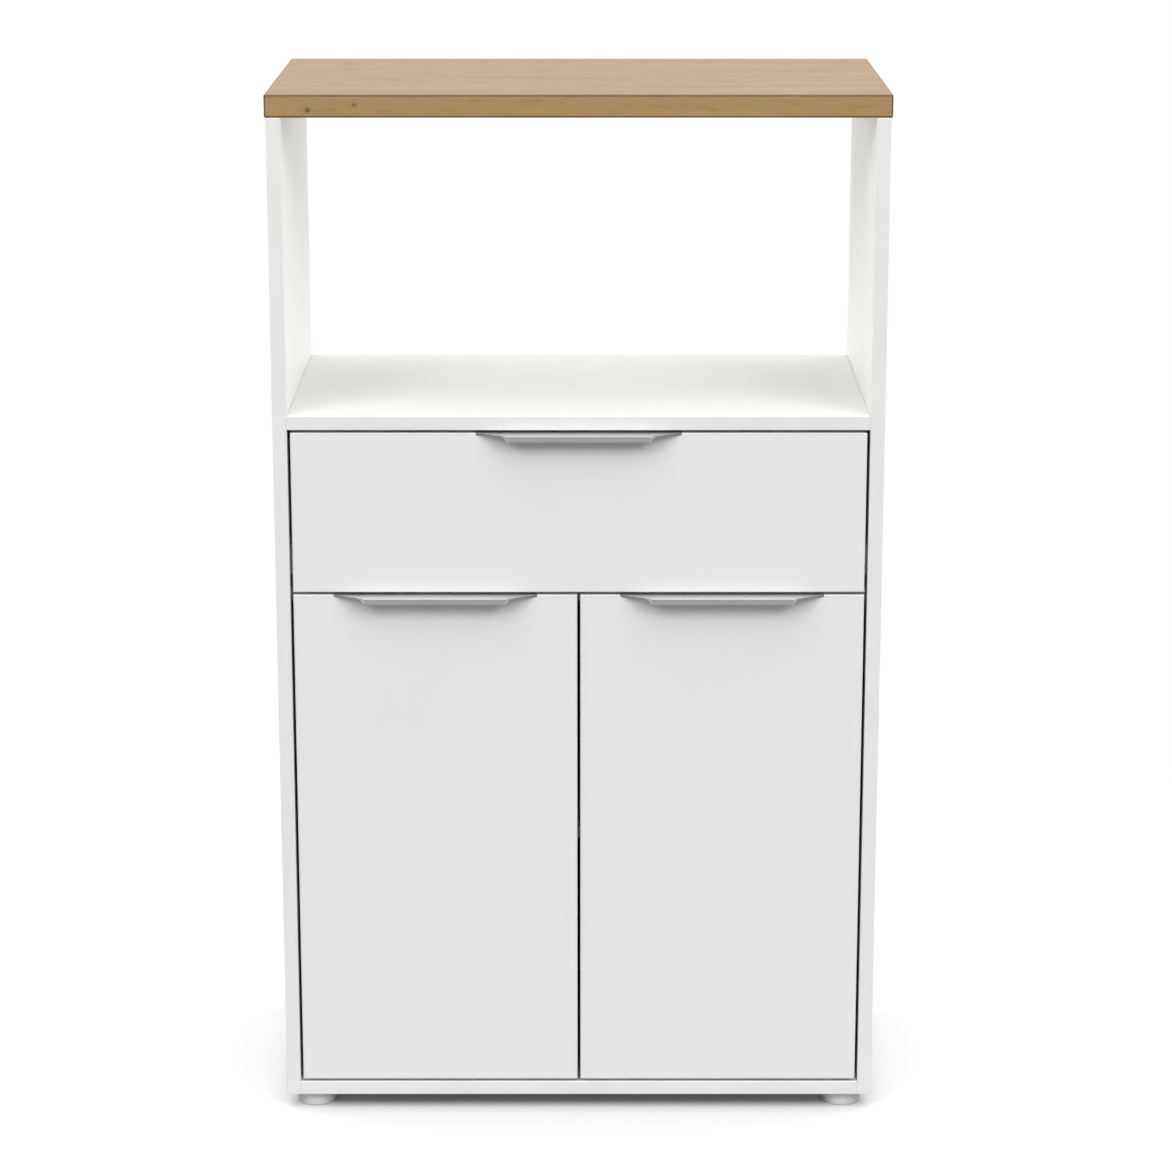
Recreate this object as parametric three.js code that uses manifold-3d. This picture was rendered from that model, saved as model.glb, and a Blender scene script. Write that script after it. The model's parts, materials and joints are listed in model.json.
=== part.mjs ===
// Microwave cabinet: an open microwave compartment over one inset drawer and two inset doors.
// Sizes are in millimetres, +Z is up and the fronts face -Y. The origin is on the floor, under
// the middle of the cabinet's box.

import * as THREE from 'three';
import { mergeVertices } from 'three/addons/utils/BufferGeometryUtils.js';
import Module from 'manifold-3d';

const wasm = await Module();
wasm.setup();

// ---------- Driving dimensions ----------

// Boards
const BOARD = 14;                  // carcass, doors and drawer front
const TOP_THICKNESS = 22;
const HARDBOARD = 3;               // cabinet back and drawer bottom

// Carcass
const CARCASS_WIDTH = 597;         // over the two side panels
const COMPARTMENT_HEIGHT = 290;    // clear height for the microwave
const TOP_SIDE_OVERHANG = 1.5;
const TOP_BACK_OVERHANG = 6;
const BACK_INSET = 2;              // the hardboard stops this far inside the carcass outline

// Fronts
const DRAWER_FRONT_HEIGHT = 160;
const DOOR_HEIGHT = 511;
const GAP = 3;                     // dark line around every front

// Clearances
const CLEARANCE = 0.3;             // between pieces that are fitted or run past each other

// Glides
const FOOT_RADIUS = 21.5;
const FOOT_HEIGHT = 15;
const FOOT_SIDE_INSET = 28.5;      // glide centre from the outside of the side panel
const FOOT_END_INSET = 27;         // glide centre from the front and back edges
const FOOT_TAPER = 1.5;            // how much narrower the glide is at the floor
const FOOT_ROUNDING = 1.2;

// Edge pulls
const PULL_LENGTH = 200;           // at the face of the panel
const PULL_LIP_LENGTH = 141;       // at the top of the lip
const PULL_LIP_FOOT_LENGTH = 135;  // at the bottom of the lip
const PULL_REACH = 15;             // how far the lip stands in front of the panel
const PULL_LIP_HEIGHT = 6;
const PULL_THICKNESS = 2;
const PULL_FLANGE_DROP = 18;       // flange behind the panel, down from its top edge
const PULL_SCREW_INSET = 20;       // screw from the end of the pull

// Pull screws
const SCREW_RADIUS = 1.5;
const SCREW_LENGTH = 10;           // under the head
const SCREW_HEAD_RADIUS = 3.2;
const SCREW_HEAD_HEIGHT = 1.8;

// Cross rail and door bumpers
const RAIL_DEPTH = 60;
const RAIL_SETBACK = 2.2;          // rail behind the heads of the pull screws
const BUMPER_EDGE = 1;             // bumper inside the rail and inside the door's top edge
const BUMPER_INSET = 15;           // bumper centre from the free edge of its door

// Loose shelf and its pins
const SHELF_END_GAP = 2;
const SHELF_FRONT_SETBACK = 24;    // shelf behind the plane of the fronts
const SHELF_BACK_GAP = 6;
const PIN_RADIUS = 2.5;
const PIN_DEPTH = 8;               // pin inside the side panel
const PIN_COLLAR_RADIUS = 4.5;
const PIN_COLLAR = 1.5;
const PIN_TONGUE_LENGTH = 7;
const PIN_TONGUE_WIDTH = 6;
const PIN_TONGUE_THICKNESS = 4;
const PIN_END_INSET = 38;          // pin from the front and back edges of the shelf
const PIN_HOLE_PITCH = 32;
const PIN_HOLE_ROWS = 3;

// Cup hinges, one pivot each
const HINGE_INSET = 70;            // hinge from the top and bottom edges of the door
const HINGE_SWING_CLEARANCE = 0.9; // between the door's front corner and the side panel as it swings
const CUP_RADIUS = 13;
const CUP_FRONT_WOOD = 3.2;        // board left in front of the cup
const CUP_WALL = 0.7;
const CUP_FLANGE = 1;
const CUP_RIM = 2.2;               // flange around the cup
const CUP_EAR_LENGTH = 44;
const CUP_EAR_WIDTH = 16;
const CUP_FROM_PIVOT = 7.4;        // cup centre from the pivot
const HINGE_PIN_RADIUS = 1.2;
const EYE_WALL = 1;
const ARM_THICKNESS = 2;
const ARM_WIDTH = 8;
const ARM_CORNER_CLEARANCE = 0.8;  // between the bent arm and the door's back corner as it swings
const ARM_BEND_RADIUS = 3;
const PLATE_SETBACK = 37;          // centre of the mounting plate behind the back of the door
const PLATE_HEIGHT = 6.5;
const PLATE_WING_LENGTH = 48;
const PLATE_WING_WIDTH = 18;
const PLATE_WING_THICKNESS = 2;
const PLATE_BLOCK_LENGTH = 30;
const PLATE_BLOCK_WIDTH = 12;

// Drawer box
const DRAWER_BOARD = 12;
const DRAWER_SIDE_HEIGHT = 110;
const DRAWER_SIDE_CLEARANCE = 12.5;
const DRAWER_BOTTOM_LIFT = 10;     // underside of the hardboard above the edge of the drawer side
const GROOVE_DEPTH = 6;

// Roller runners
const STEEL = 1.2;
const RUNNER_LENGTH = 290;         // and the drawer box behind its front
const RUNNER_BACK_GAP = 18;        // between the drawer box and the cabinet back
const RUNNER_LIFT = 14;            // bottom of the channel above the bottom edge of the drawer front
const RUNNER_SETBACK = 2;          // channel behind the back of the drawer front
const CHANNEL_FLANGE = 9;
const CHANNEL_HEADROOM = 1.6;
const RAIL_OUTER_GAP = 2.2;        // drawer rail's upper flange from the side panel
const RAIL_LIP = 12;               // drawer rail's lower flange, under the drawer side
const RAIL_DROP = 0.8;             // underside of the drawer rail above the bottom of the channel
const ROLLER_RADIUS = 11;
const ROLLER_WIDTH = 8;
const ROLLER_SIDE_GAP = 0.4;
const ROLLER_END_INSET = 14;       // axle from the end of the runner
const ROLLER_STEP = 2.2;           // front axle above the rear axle
const ROLLER_CHAMFER = 1;
const AXLE_RADIUS = 2;
const AXLE_HEAD_RADIUS = 3.5;
const AXLE_HEAD = 0.8;

// Facets around a full turn
const ROUND = 32;
const SMALL_ROUND = 16;

// ---------- Places worked out from them ----------

// The side panels are as deep as the drawer needs.
const DRAWER_LENGTH = RUNNER_LENGTH;
const CARCASS_DEPTH = BOARD + DRAWER_LENGTH + RUNNER_BACK_GAP;

const INNER_WIDTH = CARCASS_WIDTH - 2 * BOARD;
const HALF_INNER = INNER_WIDTH / 2;
const DRAWER_FRONT_WIDTH = INNER_WIDTH - 2 * GAP;
const DOOR_WIDTH = (INNER_WIDTH - 3 * GAP) / 2;

const FRONT_Y = (PULL_REACH - CARCASS_DEPTH - TOP_BACK_OVERHANG) / 2;
const BACK_Y = FRONT_Y + CARCASS_DEPTH;

const CARCASS_Z = FOOT_HEIGHT;
const DOOR_Z = CARCASS_Z + BOARD + GAP;
const DOOR_TOP = DOOR_Z + DOOR_HEIGHT;
const DRAWER_Z = DOOR_TOP + GAP;
const SHELF_Z = DRAWER_Z + DRAWER_FRONT_HEIGHT + GAP;
const COMPARTMENT_Z = SHELF_Z + BOARD;
const TOP_Z = COMPARTMENT_Z + COMPARTMENT_HEIGHT;

// Hinge: distances in from the side panel, and back from the plane of the fronts
const CUP_DEPTH = BOARD - CUP_FRONT_WOOD - CLEARANCE;
const EYE_RADIUS = HINGE_PIN_RADIUS + CLEARANCE + EYE_WALL;
const PIVOT_BACK = BOARD - CUP_DEPTH + CUP_WALL + CLEARANCE + EYE_RADIUS;
// The door's front corner turns about the pivot and has to pass the side panel.
const PIVOT_IN = (GAP ** 2 + PIVOT_BACK ** 2 - HINGE_SWING_CLEARANCE ** 2)
    / (2 * (GAP - HINGE_SWING_CLEARANCE));
const CUP_IN = PIVOT_IN + CUP_FROM_PIVOT;
// The arm's bend clears the circle that the door's back corner turns on.
const BACK_CORNER_RADIUS = Math.hypot(PIVOT_IN - GAP, BOARD - PIVOT_BACK);
const ARM_RADIUS = BACK_CORNER_RADIUS + ARM_CORNER_CLEARANCE + ARM_THICKNESS / 2;
// The pin ends in the wall of the cup.
const HINGE_PIN_LENGTH = 2 * Math.sqrt(CUP_RADIUS ** 2 - (CUP_FROM_PIVOT + HINGE_PIN_RADIUS) ** 2);
const PLATE_BACK = BOARD + PLATE_SETBACK;
const HINGE_HEIGHTS = { lower: DOOR_Z + HINGE_INSET, upper: DOOR_TOP - HINGE_INSET };

// Rail behind the gap between the drawer front and the doors
const RAIL_BACK = BOARD + PULL_THICKNESS + SCREW_HEAD_HEIGHT + RAIL_SETBACK;
const BUMPER_RADIUS = (BOARD - GAP) / 2 - BUMPER_EDGE;

// Loose shelf
const CUPBOARD_Z = CARCASS_Z + BOARD;
const PIN_Z = (CUPBOARD_Z + DRAWER_Z - BOARD) / 2;
const SHELF_DEPTH = CARCASS_DEPTH - SHELF_FRONT_SETBACK - SHELF_BACK_GAP;
const PIN_YS = {
    front: FRONT_Y + SHELF_FRONT_SETBACK + PIN_END_INSET,
    rear: BACK_Y - SHELF_BACK_GAP - PIN_END_INSET,
};

// Roller runners: heights above the bottom of the channel
const REAR_AXLE_Z = STEEL + CLEARANCE + ROLLER_RADIUS;
const FRONT_AXLE_Z = REAR_AXLE_Z + ROLLER_STEP;
const RAIL_FLANGE_Z = FRONT_AXLE_Z + ROLLER_RADIUS + CLEARANCE;
const CHANNEL_HEIGHT = RAIL_FLANGE_Z + STEEL + CHANNEL_HEADROOM + STEEL;
const CHANNEL_Z = DRAWER_Z + RUNNER_LIFT;
const CHANNEL_Y = FRONT_Y + BOARD + RUNNER_SETBACK;
const DRAWER_RAIL_Y = FRONT_Y + BOARD + CLEARANCE;
const FRONT_AXLE_Y = CHANNEL_Y + ROLLER_END_INSET;
const REAR_AXLE_Y = DRAWER_RAIL_Y + RUNNER_LENGTH - ROLLER_END_INSET;

// Drawer box
const DRAWER_SIDE_Z = CHANNEL_Z + RAIL_DROP + STEEL;
const DRAWER_HALF = HALF_INNER - DRAWER_SIDE_CLEARANCE;
const DRAWER_INNER_HALF = DRAWER_HALF - DRAWER_BOARD;
const DRAWER_BACK_Y = FRONT_Y + BOARD + DRAWER_LENGTH;
const DRAWER_BOTTOM_Z = DRAWER_SIDE_Z + DRAWER_BOTTOM_LIFT;

// ---------- Materials ----------

const finish = (color, roughness, metalness = 0) =>
    new THREE.MeshStandardMaterial({ color, roughness, metalness });

const whiteBoard = finish(0xe9e9e6, 0.45);
const oakBoard = finish(0xc9a677, 0.55);
const hardboard = finish(0xdedcd6, 0.7);
const aluminium = finish(0xb0b0ae, 0.35, 0.9);
const zincSteel = finish(0xbcbcb8, 0.3, 0.9);
const whiteSteel = finish(0xeeeeec, 0.4, 0.2);
const nylon = finish(0xe6e4dc, 0.5);
const glidePlastic = finish(0xd6d6d2, 0.5);
const clearRubber = finish(0xdcdcd8, 0.6);

// ---------- Solids ----------

// A closed geometry as a solid that can be joined and cut.
function solid(geometry) {
    geometry.deleteAttribute('normal');
    geometry.deleteAttribute('uv');
    const merged = mergeVertices(geometry, 1e-4);
    const corners = [];
    for (let i = 0; i < merged.index.count; i += 3) {
        const [a, b, c] = [0, 1, 2].map((k) => merged.index.getX(i + k));
        if (a !== b && b !== c && c !== a) corners.push(a, b, c);
    }
    return new wasm.Manifold(new wasm.Mesh({
        numProp: 3,
        vertProperties: Float32Array.from(merged.attributes.position.array),
        triVerts: Uint32Array.from(corners),
    }));
}

// A block between two opposite corners.
function block([x0, x1], [y0, y1], [z0, z1]) {
    const geometry = new THREE.BoxGeometry(x1 - x0, y1 - y0, z1 - z0);
    geometry.translate((x0 + x1) / 2, (y0 + y1) / 2, (z0 + z1) / 2);
    return solid(geometry);
}

// A round bar along one axis, from one place on it to another.
function bar(axis, radius, [from, to], centre, facets = SMALL_ROUND) {
    const geometry = new THREE.CylinderGeometry(radius, radius, to - from, facets);
    geometry.translate(0, (from + to) / 2, 0);
    if (axis === 'x') geometry.rotateZ(-Math.PI / 2);
    if (axis === 'z') geometry.rotateX(Math.PI / 2);
    geometry.translate(...centre);
    return solid(geometry);
}

// A profile of [radius, height] turned about Z.
function turned(profile, facets = ROUND) {
    const points = profile.map(([radius, height]) => new THREE.Vector2(radius, height));
    const geometry = new THREE.LatheGeometry(points, facets);
    geometry.rotateX(Math.PI / 2);
    return solid(geometry);
}

// An outline in the XY plane, carried up from z0 to z1.
function prism(outline, [z0, z1]) {
    const shape = new THREE.Shape(outline.map(([x, y]) => new THREE.Vector2(x, y)));
    const geometry = new THREE.ExtrudeGeometry(shape, { depth: z1 - z0, bevelEnabled: false });
    geometry.translate(0, 0, z0);
    return solid(geometry);
}

// An outline of [x, z], carried along Y from y0 to y1.
function section(outline, [y0, y1]) {
    const shape = new THREE.Shape(outline.map(([x, z]) => new THREE.Vector2(x, z)));
    const geometry = new THREE.ExtrudeGeometry(shape, { depth: y1 - y0, bevelEnabled: false });
    geometry.rotateX(Math.PI / 2);
    geometry.translate(0, y1, 0);
    return solid(geometry);
}

const joined = (...solids) => solids.reduce((whole, next) => whole.add(next));
const cut = (whole, ...tools) => tools.reduce((rest, tool) => rest.subtract(tool), whole);

// The points of an arc, angles in degrees.
function arc([x, y], radius, from, to, steps) {
    return Array.from({ length: steps + 1 }, (_, i) => {
        const angle = THREE.MathUtils.degToRad(from + (to - from) * i / steps);
        return [x + radius * Math.cos(angle), y + radius * Math.sin(angle)];
    });
}

// The outline of a strip of even thickness along a line of points, with mitred corners.
function strip(points, thickness) {
    const line = points.map(([x, y]) => new THREE.Vector2(x, y));
    const edge = (side) => line.map((point, i) => {
        const before = point.clone().sub(line[Math.max(i - 1, 0)]).normalize();
        const after = line[Math.min(i + 1, line.length - 1)].clone().sub(point).normalize();
        const along = before.clone().add(after).normalize();
        const halfTurn = i > 0 && i < line.length - 1 ? along.dot(after) : 1;
        const reach = side * thickness / 2 / halfTurn;
        return [point.x - along.y * reach, point.y + along.x * reach];
    });
    return [...edge(1), ...edge(-1).reverse()];
}

// A named mesh of a solid, at its place.
function piece(name, body, material, position = [0, 0, 0]) {
    const { vertProperties, triVerts } = body.getMesh();
    const geometry = new THREE.BufferGeometry();
    geometry.setAttribute('position', new THREE.BufferAttribute(vertProperties, 3));
    geometry.setIndex(new THREE.BufferAttribute(triVerts, 1));
    geometry.computeVertexNormals();
    const mesh = new THREE.Mesh(geometry, material);
    mesh.name = name;
    mesh.position.set(...position);
    return mesh;
}

function group(position, ...children) {
    const whole = new THREE.Group();
    whole.position.set(...position);
    whole.add(...children);
    return whole;
}

const LEFT = -1;
const RIGHT = 1;
const SIDES = { left: LEFT, right: RIGHT };

// ---------- Carcass ----------

function topBoard() {
    const halfWidth = CARCASS_WIDTH / 2 + TOP_SIDE_OVERHANG;
    const body = block(
        [-halfWidth, halfWidth],
        [FRONT_Y, BACK_Y + TOP_BACK_OVERHANG],
        [TOP_Z, TOP_Z + TOP_THICKNESS],
    );
    return piece('top_board', body, oakBoard);
}

// The pin holes run into the inner face in a column near the front and one near the back.
function sidePanel(name, side) {
    const panel = block([0, BOARD], [FRONT_Y, BACK_Y], [CARCASS_Z, TOP_Z]);
    const holes = Object.values(PIN_YS).flatMap((y) =>
        Array.from({ length: PIN_HOLE_ROWS }, (_, row) => {
            const z = PIN_Z + (row - (PIN_HOLE_ROWS - 1) / 2) * PIN_HOLE_PITCH;
            const depth = side === LEFT
                ? [BOARD - PIN_DEPTH - CLEARANCE, BOARD + 1]
                : [-1, PIN_DEPTH + CLEARANCE];
            return bar('x', PIN_RADIUS + CLEARANCE, depth, [0, y, z]);
        }));
    const x = side === LEFT ? -CARCASS_WIDTH / 2 : HALF_INNER;
    return piece(name, cut(panel, ...holes), whiteBoard, [x, 0, 0]);
}

function panelBetweenSides(name, z) {
    const body = block([-HALF_INNER, HALF_INNER], [FRONT_Y, BACK_Y], [z, z + BOARD]);
    return piece(name, body, whiteBoard);
}

function backPanel() {
    const halfWidth = CARCASS_WIDTH / 2 - BACK_INSET;
    const body = block(
        [-halfWidth, halfWidth],
        [BACK_Y, BACK_Y + HARDBOARD],
        [CARCASS_Z + BACK_INSET, COMPARTMENT_Z - BACK_INSET],
    );
    return piece('back_panel', body, hardboard);
}

function crossRail() {
    const body = block(
        [-HALF_INNER, HALF_INNER],
        [FRONT_Y + RAIL_BACK, FRONT_Y + RAIL_BACK + RAIL_DEPTH],
        [DRAWER_Z - BOARD, DRAWER_Z],
    );
    return piece('cross_rail', body, whiteBoard);
}

function doorBumper(name, side) {
    const length = RAIL_BACK - BOARD - CLEARANCE;
    const body = bar('y', BUMPER_RADIUS, [-length, 0], [0, 0, 0], ROUND);
    return piece(name, body, clearRubber, [
        side * (GAP / 2 + BUMPER_INSET),
        FRONT_Y + RAIL_BACK,
        DOOR_TOP - (BOARD - GAP) / 2,
    ]);
}

function foot(name, side, y) {
    const floorRadius = FOOT_RADIUS - FOOT_TAPER;
    const body = turned([
        [0, 0],
        [floorRadius - FOOT_ROUNDING, 0],
        [floorRadius, FOOT_ROUNDING],
        [FOOT_RADIUS, FOOT_HEIGHT],
        [0, FOOT_HEIGHT],
    ]);
    return piece(name, body, glidePlastic, [side * (CARCASS_WIDTH / 2 - FOOT_SIDE_INSET), y, 0]);
}

function looseShelf() {
    const halfWidth = HALF_INNER - SHELF_END_GAP;
    const y = FRONT_Y + SHELF_FRONT_SETBACK;
    const body = block([-halfWidth, halfWidth], [y, y + SHELF_DEPTH], [0, BOARD]);
    return piece('loose_shelf', body, whiteBoard, [0, 0, PIN_Z + PIN_RADIUS]);
}

// The pin's tongue is level with the top of the pin, and the shelf lies on it.
function shelfPin(name, side, y) {
    const tongueEnd = PIN_COLLAR + PIN_TONGUE_LENGTH;
    const body = joined(
        bar('x', PIN_RADIUS, [-PIN_DEPTH, PIN_COLLAR], [0, 0, 0]),
        bar('x', PIN_COLLAR_RADIUS, [0, PIN_COLLAR], [0, 0, 0]),
        block(
            [PIN_COLLAR / 2, tongueEnd],
            [-PIN_TONGUE_WIDTH / 2, PIN_TONGUE_WIDTH / 2],
            [PIN_RADIUS - PIN_TONGUE_THICKNESS, PIN_RADIUS],
        ),
    );
    const pin = piece(name, body, nylon, [side * HALF_INNER, y, PIN_Z]);
    pin.rotation.z = side === LEFT ? 0 : Math.PI;
    return pin;
}

// ---------- Edge pull, with its origin at the top edge of the panel's face ----------

function pull(name) {
    const half = PULL_LENGTH / 2;
    const lipHalf = PULL_LIP_LENGTH / 2;
    const footHalf = PULL_LIP_FOOT_LENGTH / 2;
    const flangeBack = BOARD + PULL_THICKNESS;
    const web = prism([
        [-half, flangeBack], [-half, 0], [-lipHalf, -PULL_REACH],
        [lipHalf, -PULL_REACH], [half, 0], [half, flangeBack],
    ], [-PULL_THICKNESS, 0]);
    const lip = section([
        [-lipHalf, 0], [-footHalf, -PULL_LIP_HEIGHT], [footHalf, -PULL_LIP_HEIGHT], [lipHalf, 0],
    ], [-PULL_REACH, -PULL_REACH + PULL_THICKNESS]);
    const flange = block([-half, half], [BOARD, flangeBack], [-PULL_FLANGE_DROP, 0]);
    const holes = pullScrewXs().map((x) =>
        bar('y', SCREW_RADIUS + CLEARANCE, [BOARD - 1, flangeBack + 1], [x, 0, pullScrewZ()]));
    return piece(name, cut(joined(web, lip, flange), ...holes), aluminium);
}

function pullScrewXs() {
    const x = PULL_LENGTH / 2 - PULL_SCREW_INSET;
    return [-x, x];
}

function pullScrewZ() {
    return -(PULL_THICKNESS + PULL_FLANGE_DROP) / 2;
}

function pullScrew(name, x) {
    const shank = SCREW_LENGTH;
    const body = turned([
        [0, -shank],
        [SCREW_RADIUS, -shank + SCREW_RADIUS],
        [SCREW_RADIUS, 0],
        [SCREW_HEAD_RADIUS, 0],
        [SCREW_HEAD_RADIUS * 0.8, SCREW_HEAD_HEIGHT * 0.7],
        [0, SCREW_HEAD_HEIGHT],
    ], SMALL_ROUND);
    const screw = piece(name, body, zincSteel, [x, BOARD + PULL_THICKNESS, pullScrewZ()]);
    screw.rotation.x = -Math.PI / 2;
    return screw;
}

// What the pull needs cut out of its panel: the rebate for its web and the screw holes.
function pullCuts(top) {
    const half = PULL_LENGTH / 2 + CLEARANCE;
    const rebate = block([-half, half], [-1, BOARD + 1], [top - PULL_THICKNESS, top + 1]);
    const depth = SCREW_LENGTH - PULL_THICKNESS + CLEARANCE;
    const holes = pullScrewXs().map((x) =>
        bar('y', SCREW_RADIUS + CLEARANCE, [BOARD - depth, BOARD + 1], [x, 0, top + pullScrewZ()]));
    return [rebate, ...holes];
}

function pullWithScrews(prefix, top) {
    const screws = pullScrewXs().map((x, i) => pullScrew(`${prefix}_pull_screw_${i + 1}`, x));
    return group([0, 0, top], pull(`${prefix}_pull`), ...screws);
}

// ---------- Cup hinge: x in from the side panel, y back from the fronts, z from its middle ----------

function hingeCup(name) {
    const inner = CUP_RADIUS - CUP_WALL;
    const rim = CUP_RADIUS + CUP_RIM;
    const cup = turned([
        [0, 0], [CUP_RADIUS, 0], [CUP_RADIUS, CUP_DEPTH], [rim, CUP_DEPTH],
        [rim, CUP_DEPTH + CUP_FLANGE], [inner, CUP_DEPTH + CUP_FLANGE], [inner, CUP_WALL],
        [0, CUP_WALL],
    ]);
    const ears = cut(
        block(
            [-CUP_EAR_WIDTH / 2, CUP_EAR_WIDTH / 2],
            [-CUP_EAR_LENGTH / 2, CUP_EAR_LENGTH / 2],
            [CUP_DEPTH, CUP_DEPTH + CUP_FLANGE],
        ),
        bar('z', inner, [CUP_DEPTH - 1, CUP_DEPTH + CUP_FLANGE + 1], [0, 0, 0], ROUND),
    );
    const pinHoles = bar(
        'y',
        HINGE_PIN_RADIUS + CLEARANCE,
        [-CUP_RADIUS, CUP_RADIUS],
        [-CUP_FROM_PIVOT, 0, PIVOT_BACK - BOARD + CUP_DEPTH],
    );
    const mesh = piece(name, cut(joined(cup, ears), pinHoles), zincSteel, [CUP_IN, BOARD - CUP_DEPTH, 0]);
    mesh.rotation.x = -Math.PI / 2;
    return mesh;
}

function hingePin(name) {
    const body = bar('z', HINGE_PIN_RADIUS, [-HINGE_PIN_LENGTH / 2, HINGE_PIN_LENGTH / 2], [0, 0, 0]);
    return piece(name, body, zincSteel, [PIVOT_IN, PIVOT_BACK, 0]);
}

// From the pivot the arm runs in along the cup, bends round the door's back corner and lies on
// the mounting plate.
function hingeArm(name) {
    const pivot = [PIVOT_IN, PIVOT_BACK];
    const bore = HINGE_PIN_RADIUS + CLEARANCE;
    const leg = PLATE_HEIGHT + ARM_THICKNESS / 2;
    const shoulder = PIVOT_BACK + ARM_RADIUS;
    const legEnd = PLATE_BACK + PLATE_BLOCK_LENGTH / 2;
    const halfWidth = [-ARM_WIDTH / 2, ARM_WIDTH / 2];
    const line = [
        [PIVOT_IN + bore, PIVOT_BACK],
        ...arc(pivot, ARM_RADIUS, 0, 90, 12),
        ...arc([leg + ARM_BEND_RADIUS, shoulder + ARM_BEND_RADIUS], ARM_BEND_RADIUS, 270, 180, 4),
        [leg, legEnd],
    ];
    const body = cut(
        joined(
            prism(strip(line, ARM_THICKNESS), halfWidth),
            bar('z', EYE_RADIUS, halfWidth, [...pivot, 0]),
        ),
        bar('z', bore, [-ARM_WIDTH, ARM_WIDTH], [...pivot, 0]),
    );
    return piece(name, body, zincSteel);
}

function hingePlate(name) {
    const body = joined(
        block(
            [0, PLATE_WING_THICKNESS],
            [PLATE_BACK - PLATE_WING_WIDTH / 2, PLATE_BACK + PLATE_WING_WIDTH / 2],
            [-PLATE_WING_LENGTH / 2, PLATE_WING_LENGTH / 2],
        ),
        block(
            [0, PLATE_HEIGHT],
            [PLATE_BACK - PLATE_BLOCK_LENGTH / 2, PLATE_BACK + PLATE_BLOCK_LENGTH / 2],
            [-PLATE_BLOCK_WIDTH / 2, PLATE_BLOCK_WIDTH / 2],
        ),
    );
    return piece(name, body, zincSteel);
}

// Turned over, the same hinge fits the other side.
function hinge(prefix, side, z) {
    const whole = group(
        [side * HALF_INNER, FRONT_Y, z],
        hingeCup(`${prefix}_hinge_cup`),
        hingePin(`${prefix}_hinge_pin`),
        hingeArm(`${prefix}_hinge_arm`),
        hingePlate(`${prefix}_hinge_plate`),
    );
    whole.rotation.y = side === LEFT ? 0 : Math.PI;
    return whole;
}

// ---------- Doors ----------

function doorPanel(name, side) {
    const cupX = side * (DOOR_WIDTH / 2 + GAP - CUP_IN);
    const pockets = Object.values(HINGE_HEIGHTS).map((z) =>
        bar('y', CUP_RADIUS + CLEARANCE, [CUP_FRONT_WOOD, BOARD + 1], [cupX, 0, z - DOOR_Z], ROUND));
    const panel = block([-DOOR_WIDTH / 2, DOOR_WIDTH / 2], [0, BOARD], [0, DOOR_HEIGHT]);
    return piece(name, cut(panel, ...pockets, ...pullCuts(DOOR_HEIGHT)), whiteBoard);
}

function door(prefix, side) {
    return group(
        [side * (GAP + DOOR_WIDTH) / 2, FRONT_Y, DOOR_Z],
        doorPanel(`${prefix}_door_panel`, side),
        pullWithScrews(`${prefix}_door`, DOOR_HEIGHT),
    );
}

// ---------- Drawer ----------

const GROOVE_Z = [DRAWER_BOTTOM_Z, DRAWER_BOTTOM_Z + HARDBOARD + CLEARANCE];
const BOTTOM_HALF = DRAWER_INNER_HALF + GROOVE_DEPTH - CLEARANCE;

function drawerFront() {
    const half = DRAWER_FRONT_WIDTH / 2;
    const panel = block([-half, half], [0, BOARD], [0, DRAWER_FRONT_HEIGHT]);
    const groove = block(
        [-BOTTOM_HALF - CLEARANCE, BOTTOM_HALF + CLEARANCE],
        [BOARD - GROOVE_DEPTH, BOARD + 1],
        GROOVE_Z.map((z) => z - DRAWER_Z),
    );
    const body = cut(panel, groove, ...pullCuts(DRAWER_FRONT_HEIGHT));
    return piece('drawer_front', body, whiteBoard, [0, FRONT_Y, DRAWER_Z]);
}

function drawerSide(name, side) {
    const board = block(
        [-DRAWER_BOARD / 2, DRAWER_BOARD / 2],
        [FRONT_Y + BOARD, DRAWER_BACK_Y],
        [DRAWER_SIDE_Z, DRAWER_SIDE_Z + DRAWER_SIDE_HEIGHT],
    );
    const inner = -side * DRAWER_BOARD / 2;
    const groove = block(
        [inner - GROOVE_DEPTH, inner + GROOVE_DEPTH],
        [FRONT_Y, DRAWER_BACK_Y + 1],
        GROOVE_Z,
    );
    const x = side * (DRAWER_HALF - DRAWER_BOARD / 2);
    return piece(name, cut(board, groove), whiteBoard, [x, 0, 0]);
}

function drawerBack() {
    const body = block(
        [-DRAWER_INNER_HALF, DRAWER_INNER_HALF],
        [DRAWER_BACK_Y - DRAWER_BOARD, DRAWER_BACK_Y],
        [DRAWER_BOTTOM_Z + HARDBOARD, DRAWER_SIDE_Z + DRAWER_SIDE_HEIGHT],
    );
    return piece('drawer_back', body, whiteBoard);
}

function drawerBottom() {
    const body = block(
        [-BOTTOM_HALF, BOTTOM_HALF],
        [FRONT_Y + BOARD - GROOVE_DEPTH + CLEARANCE, DRAWER_BACK_Y],
        [DRAWER_BOTTOM_Z, DRAWER_BOTTOM_Z + HARDBOARD],
    );
    return piece('drawer_bottom', body, hardboard);
}

// ---------- Roller runners: distances in from the side panel, mirrored for the right ----------

// A rivet along X that starts in a steel face and ends in a flat head.
function axle(from, towards, side, y, z) {
    const neck = from + towards * (ROLLER_WIDTH + 2 * ROLLER_SIDE_GAP);
    const head = neck + towards * AXLE_HEAD;
    const along = (a, b) => [side * a, side * b].sort((p, q) => p - q);
    return joined(
        bar('x', AXLE_RADIUS, along(from, head), [0, y, z]),
        bar('x', AXLE_HEAD_RADIUS, along(neck, head), [0, y, z]),
    );
}

// In from the side panel, the left runner's x grows and the right runner's falls.
const inward = (side) => -side;

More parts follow.
